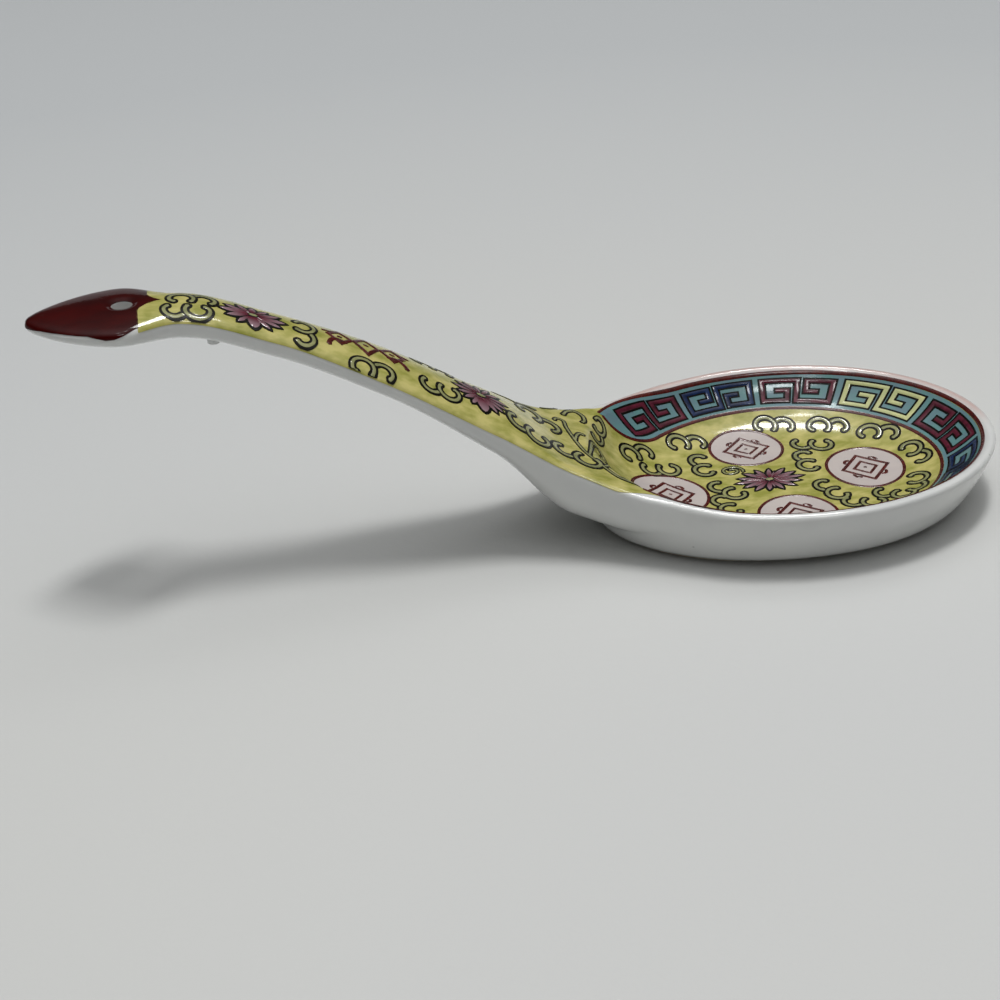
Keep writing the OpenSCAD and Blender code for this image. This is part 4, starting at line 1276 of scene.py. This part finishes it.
@dataclass
class Scrolls(Part):
    """The outlined cloud scrolls, their junction at the handle's root, and the handle's red knot."""

    brush: Brush = field(default_factory=lambda: Brush(step=0.24))
    radius: float = 1.63
    width: float = 1.2
    outline: float = 0.36
    root: Pair = (-44.0, -30.0)
    root_swell: float = 1.2
    stem_swell: float = 1.4
    overlap_step: float = 0.012
    knot_place: Pair = (-63.06, 0.25)
    places: tuple[Place, ...] = (
        (-21.4, 9.1, 114), (-18.4, 6.2, 277), (-12.0, 13.1, 92), (-11.4, 6.9, 180), (-10.1, -1.5, 215),
        (-11.7, -5.9, 190), (3.5, 15.4, 77), (7.6, 9.1, 253), (4.8, 4.2, 175), (11.7, 12.8, 69), (5.1, -5.4, 200),
        (8.2, -10.5, 247), (18.3, 8.0, 59), (13.3, -9.9, 230), (21.1, 0.2, 7), (17.5, -8.3, 335),
        (-27.9, 8.3, 345), (-27.5, -1.0, 240), (-34.4, -5.0, 245), (-38.0, 4.2, 65), (-41.2, -3.7, 250),
        (-53.5, -3.5, 270), (-53.5, 4.0, 90), (-62.9, -5.1, 90), (-71.5, -1.5, 0), (-85.7, 0.3, 90),
        (-86.5, -2.9, 270), (-21.4, -9.6, 246), (-12.0, -13.1, 268), (3.5, -15.4, 283), (11.7, -13.8, 291))

    def arcs(self) -> list[Points]:
        """Flat paths of one scroll, bulging towards +x: a full hook and a second one on its back."""
        r = self.radius
        first, second = np.linspace(252, -38, 25), np.linspace(150, -70, 18)
        curl = r * (1 - 0.2 * ease((first - 190) / 62))
        hook = polar(first, curl, curl * 0.98) + [-0.86 * r, 0]
        tail = hook[-1] + np.array([-0.1, -0.38]) * r
        hook = np.concatenate([hook, [(hook[-1] + tail) / 2, tail]])
        curl = 0.92 * r * (1 - 0.18 * ease((-12 - second) / 58))
        back = polar(second, curl, curl) + [0.92 * r, -0.08 * r]
        return [turned(self.brush.smoothed(path), -90) for path in (hook, back)]

    def pair(self, path: Points, width: float) -> list[Piece]:
        """The dark stroke along a path, and the olive one on it that stops short of its ends."""
        edge = min(self.outline, width * 0.3)
        run = run_along(path)
        keep = np.linspace(edge, run[-1] - edge, len(path))
        inner = np.stack([np.interp(keep, run, path[:, axis]) for axis in (0, 1)], -1)
        return [self.paint(self.brush.stroke(path, width, rise=0.0, lift=0.14, bulb=0.3), OUTLINE),
                self.paint(self.brush.stroke(inner, width - 2 * edge, rise=0.03, bulb=0.35), OLIVE)]

    def junction(self) -> list[Piece]:
        """The long stem with its curls where the handle runs into the bowl, and the bowl's small spiral."""
        out = []
        for corners, width in STEMS:
            out += self.pair(self.brush.smoothed(corners), width * self.stem_swell)
        curl = np.linspace(0, 1, 34)
        out += self.pair(polar(-40 + 560 * curl, 1.85 - 1.35 * curl, 1.45 - 1.1 * curl) + [-7.5, 4.1], 0.72)
        return [Bench.lay(piece, self.skin.lay) for piece in out]

    def scroll_work(self) -> None:
        """All scrolls: one model, copied, turned and laid at each place."""
        models = [piece for path in self.arcs() for piece in self.pair(path, self.width)]
        out = self.junction()
        for x, y, turn in self.places:
            press = self.skin.lay_at((x, y), turn)
            swell = self.root_swell if self.root[0] < x < self.root[1] else 1.0
            for order, model in enumerate(models):
                lift = [0, 0, self.overlap_step * (order // 2)]
                piece = Bench.copy(model)
                out.append(Bench.lay(piece, lambda points: press(points * [swell, swell, 1] + lift)))
        Bench.drop(*models)
        self.layer("cloud_scrolls", out, "olive_scroll", "scroll_work")

    def red_knot(self) -> None:
        """The handle's generic ornament: three linked lozenges with brushed tails."""
        brush, strokes = self.brush, []
        for x, long, wide in ((-3.5, 1.55, 1.95), (0.0, 1.6, 2.5), (3.5, 1.55, 1.95)):
            strokes.append(brush.lozenge(long, wide, 0.6, x))
            strokes.append(brush.stroke(brush.smoothed([(x - 0.4, 0), (x, 0.06), (x + 0.4, 0)]), 0.5))
        strokes += [brush.stroke(brush.smoothed(corners), width, lift=0.16, bulb=0.4) for corners, width in TAILS]
        for piece in strokes:
            Bench.lay(piece, lambda points: self.skin.lay(points + [*self.knot_place, 0]))
        self.layer("handle_red_knot", strokes, "iron_red", "handle_knot", IRON_RED)

    def build(self) -> None:
        """Builds the scrolls and the red knot."""
        self.scroll_work()
        self.red_knot()


class Reach(Enum):
    """What a lamp acts on: the shading of surfaces, or the highlights in the glaze."""

    SHADING = "shading"
    GLOSS = "gloss"


@dataclass(frozen=True)
class Lamp:
    """A rectangular area lamp: its place and aim and two sides in metres, and its power in watts."""

    name: str
    place: Place
    aim: Place
    sides: Pair
    power: float
    reach: Reach = Reach.GLOSS

    def hang(self) -> None:
        """Hangs the lamp in the scene."""
        data = bpy.data.lights.new(self.name, "AREA")
        data.shape, data.energy = "RECTANGLE", self.power
        data.size, data.size_y = self.sides
        lamp = bpy.data.objects.new(self.name, data)
        bpy.context.scene.collection.objects.link(lamp)
        lamp.location = self.place
        lamp.rotation_euler = (Vector(self.aim) - Vector(self.place)).to_track_quat("-Z", "Y").to_euler()
        lamp.visible_diffuse = self.reach is Reach.SHADING
        lamp.visible_glossy = self.reach is Reach.GLOSS


LAMPS = (Lamp("overhead", (0.0, -0.02, 1.2), (-0.02, 0.0, 0.0), (0.3, 0.16), 6.5, Reach.SHADING),
         Lamp("ceiling_strip", (0.0, -0.02, 1.2), (-0.02, 0.0, 0.0), (0.5, 0.12), 3.2),
         Lamp("window_right", (0.36, 0.47, 1.2), (0.0, 0.0, 0.01), (0.26, 0.2), 4.5),
         Lamp("window_left", (0.23, 0.61, 1.2), (0.0, 0.0, 0.01), (0.12, 0.2), 2.0),
         Lamp("window_behind", (0.08, -0.72, 1.0), (0.0, 0.0, 0.02), (0.55, 0.12), 2.8))


@dataclass
class Studio:
    """Floor, lamps and camera."""

    position: Place = (-0.08281, -0.20447, 0.12348)
    right: Place = (0.9786, -0.2024, -0.0378)
    up: Place = (0.1321, 0.4760, 0.8695)
    ahead: Place = (0.1579, 0.8558, -0.4925)
    focal_share: float = 1.6057
    floor_side: float = 4800.0
    floor_cells: int = 60
    sweep_start: float = 1700.0
    sweep_width: float = 700.0
    sweep_height: float = 450.0
    horizon: float = 0.04
    zenith: float = 1.78

    def camera(self) -> None:
        """The camera at the photograph's viewing angle."""
        data = bpy.data.cameras.new("camera")
        data.sensor_width = 36.0
        data.lens = data.sensor_width * self.focal_share
        data.clip_start, data.clip_end = 0.01, 20
        camera = bpy.data.objects.new("camera", data)
        bpy.context.scene.collection.objects.link(camera)
        axes = Matrix((self.right, self.up, [-v for v in self.ahead])).transposed().to_4x4()
        camera.matrix_world = Matrix.Translation(self.position) @ axes
        bpy.context.scene.camera = camera

    def floor(self) -> None:
        """A wide pale floor that sweeps up to a backdrop all round, its paper with painted shade: darker away from a
        point just in front of the spoon, and darker as the sweep rises.
        """
        side = np.linspace(-self.floor_side / 2, self.floor_side / 2, self.floor_cells + 1)
        x, y = np.meshgrid(side, side)
        rise = self.sweep_height * ease((np.hypot(x, y) - self.sweep_start) / self.sweep_width)
        piece = Bench.grid("studio_floor", np.stack([x, y, rise], -1))
        Bench.face_up(piece)
        Bench.smooth(piece)
        material, wire, inputs, place = Wiring.principled("studio_paper")
        cloud = wire.ramp(wire.noise(place, 6.0, 1.0), 0.3, 0.7)
        tone = wire.blend(cloud, (0.585, 0.585, 0.56, 1), (0.57, 0.575, 0.565, 1))
        # Painted pool of light: the paper is darker the farther it lies from a point 0.1 m in front of the spoon,
        # towards the camera.
        painted_pool_place = wire.add("Mapping", Vector=place, Location=(0.0, 0.1, 0.0)).outputs[0]
        reach = wire.add("VectorMath", {"operation": "LENGTH"}, i0=painted_pool_place).outputs["Value"]
        tone = wire.blend(wire.ramp(reach, 0.08, 0.38), tone, (0.475, 0.49, 0.495, 1))
        # Painted shade: the paper is darker the higher the sweep rises.
        height = wire.add("SeparateXYZ", Vector=place).outputs["Z"]
        tone = wire.blend(wire.ramp(height, 0.0, 0.3), tone, (0.4, 0.41, 0.41, 1))
        grain = wire.add("Bump", Height=wire.noise(place, 900.0, 3.0), Strength=0.15, Distance=0.0003)
        wire.put(tone, inputs["Base Color"])
        wire.put(grain.outputs["Normal"], inputs["Normal"])
        wire.put(0.75, inputs["Roughness"])
        piece.data.materials.append(material)

    def light(self) -> None:
        """A surround that is brightest overhead, a lamp above for the shading and four for the glaze's gloss."""
        world = bpy.data.worlds.new("surround")
        bpy.context.scene.world = world
        world.use_nodes = True
        back = world.node_tree.nodes["Background"]
        wire = Wiring(world.node_tree)
        height = wire.add("SeparateXYZ", Vector=wire.add("TexCoord").outputs["Generated"]).outputs["Z"]
        wire.put((0.98, 0.99, 1.0, 1), back.inputs["Color"])
        wire.put(wire.ramp(wire.math("POWER", height, 5.0), 0.0, 1.0, self.horizon, self.zenith),
                 back.inputs["Strength"])
        for lamp in LAMPS:
            lamp.hang()

    def build(self) -> None:
        """Sets the stage."""
        self.camera()
        self.floor()
        self.light()
        bpy.context.scene.view_settings.view_transform = "Standard"


def main() -> None:
    """Builds the spoon's pieces in order, then the studio."""
    logging.basicConfig(level=logging.INFO, format="%(name)s: %(message)s")
    skin = Skin()
    log.info("shell of %d by %d points", *skin.shell.shape[:2])
    for part in (Casting(skin), Grounds(skin), FretBand(skin), Reserves(skin), Flowers(skin), Scrolls(skin)):
        part.build()
    Studio().build()


if __name__ == "__main__":
    main()
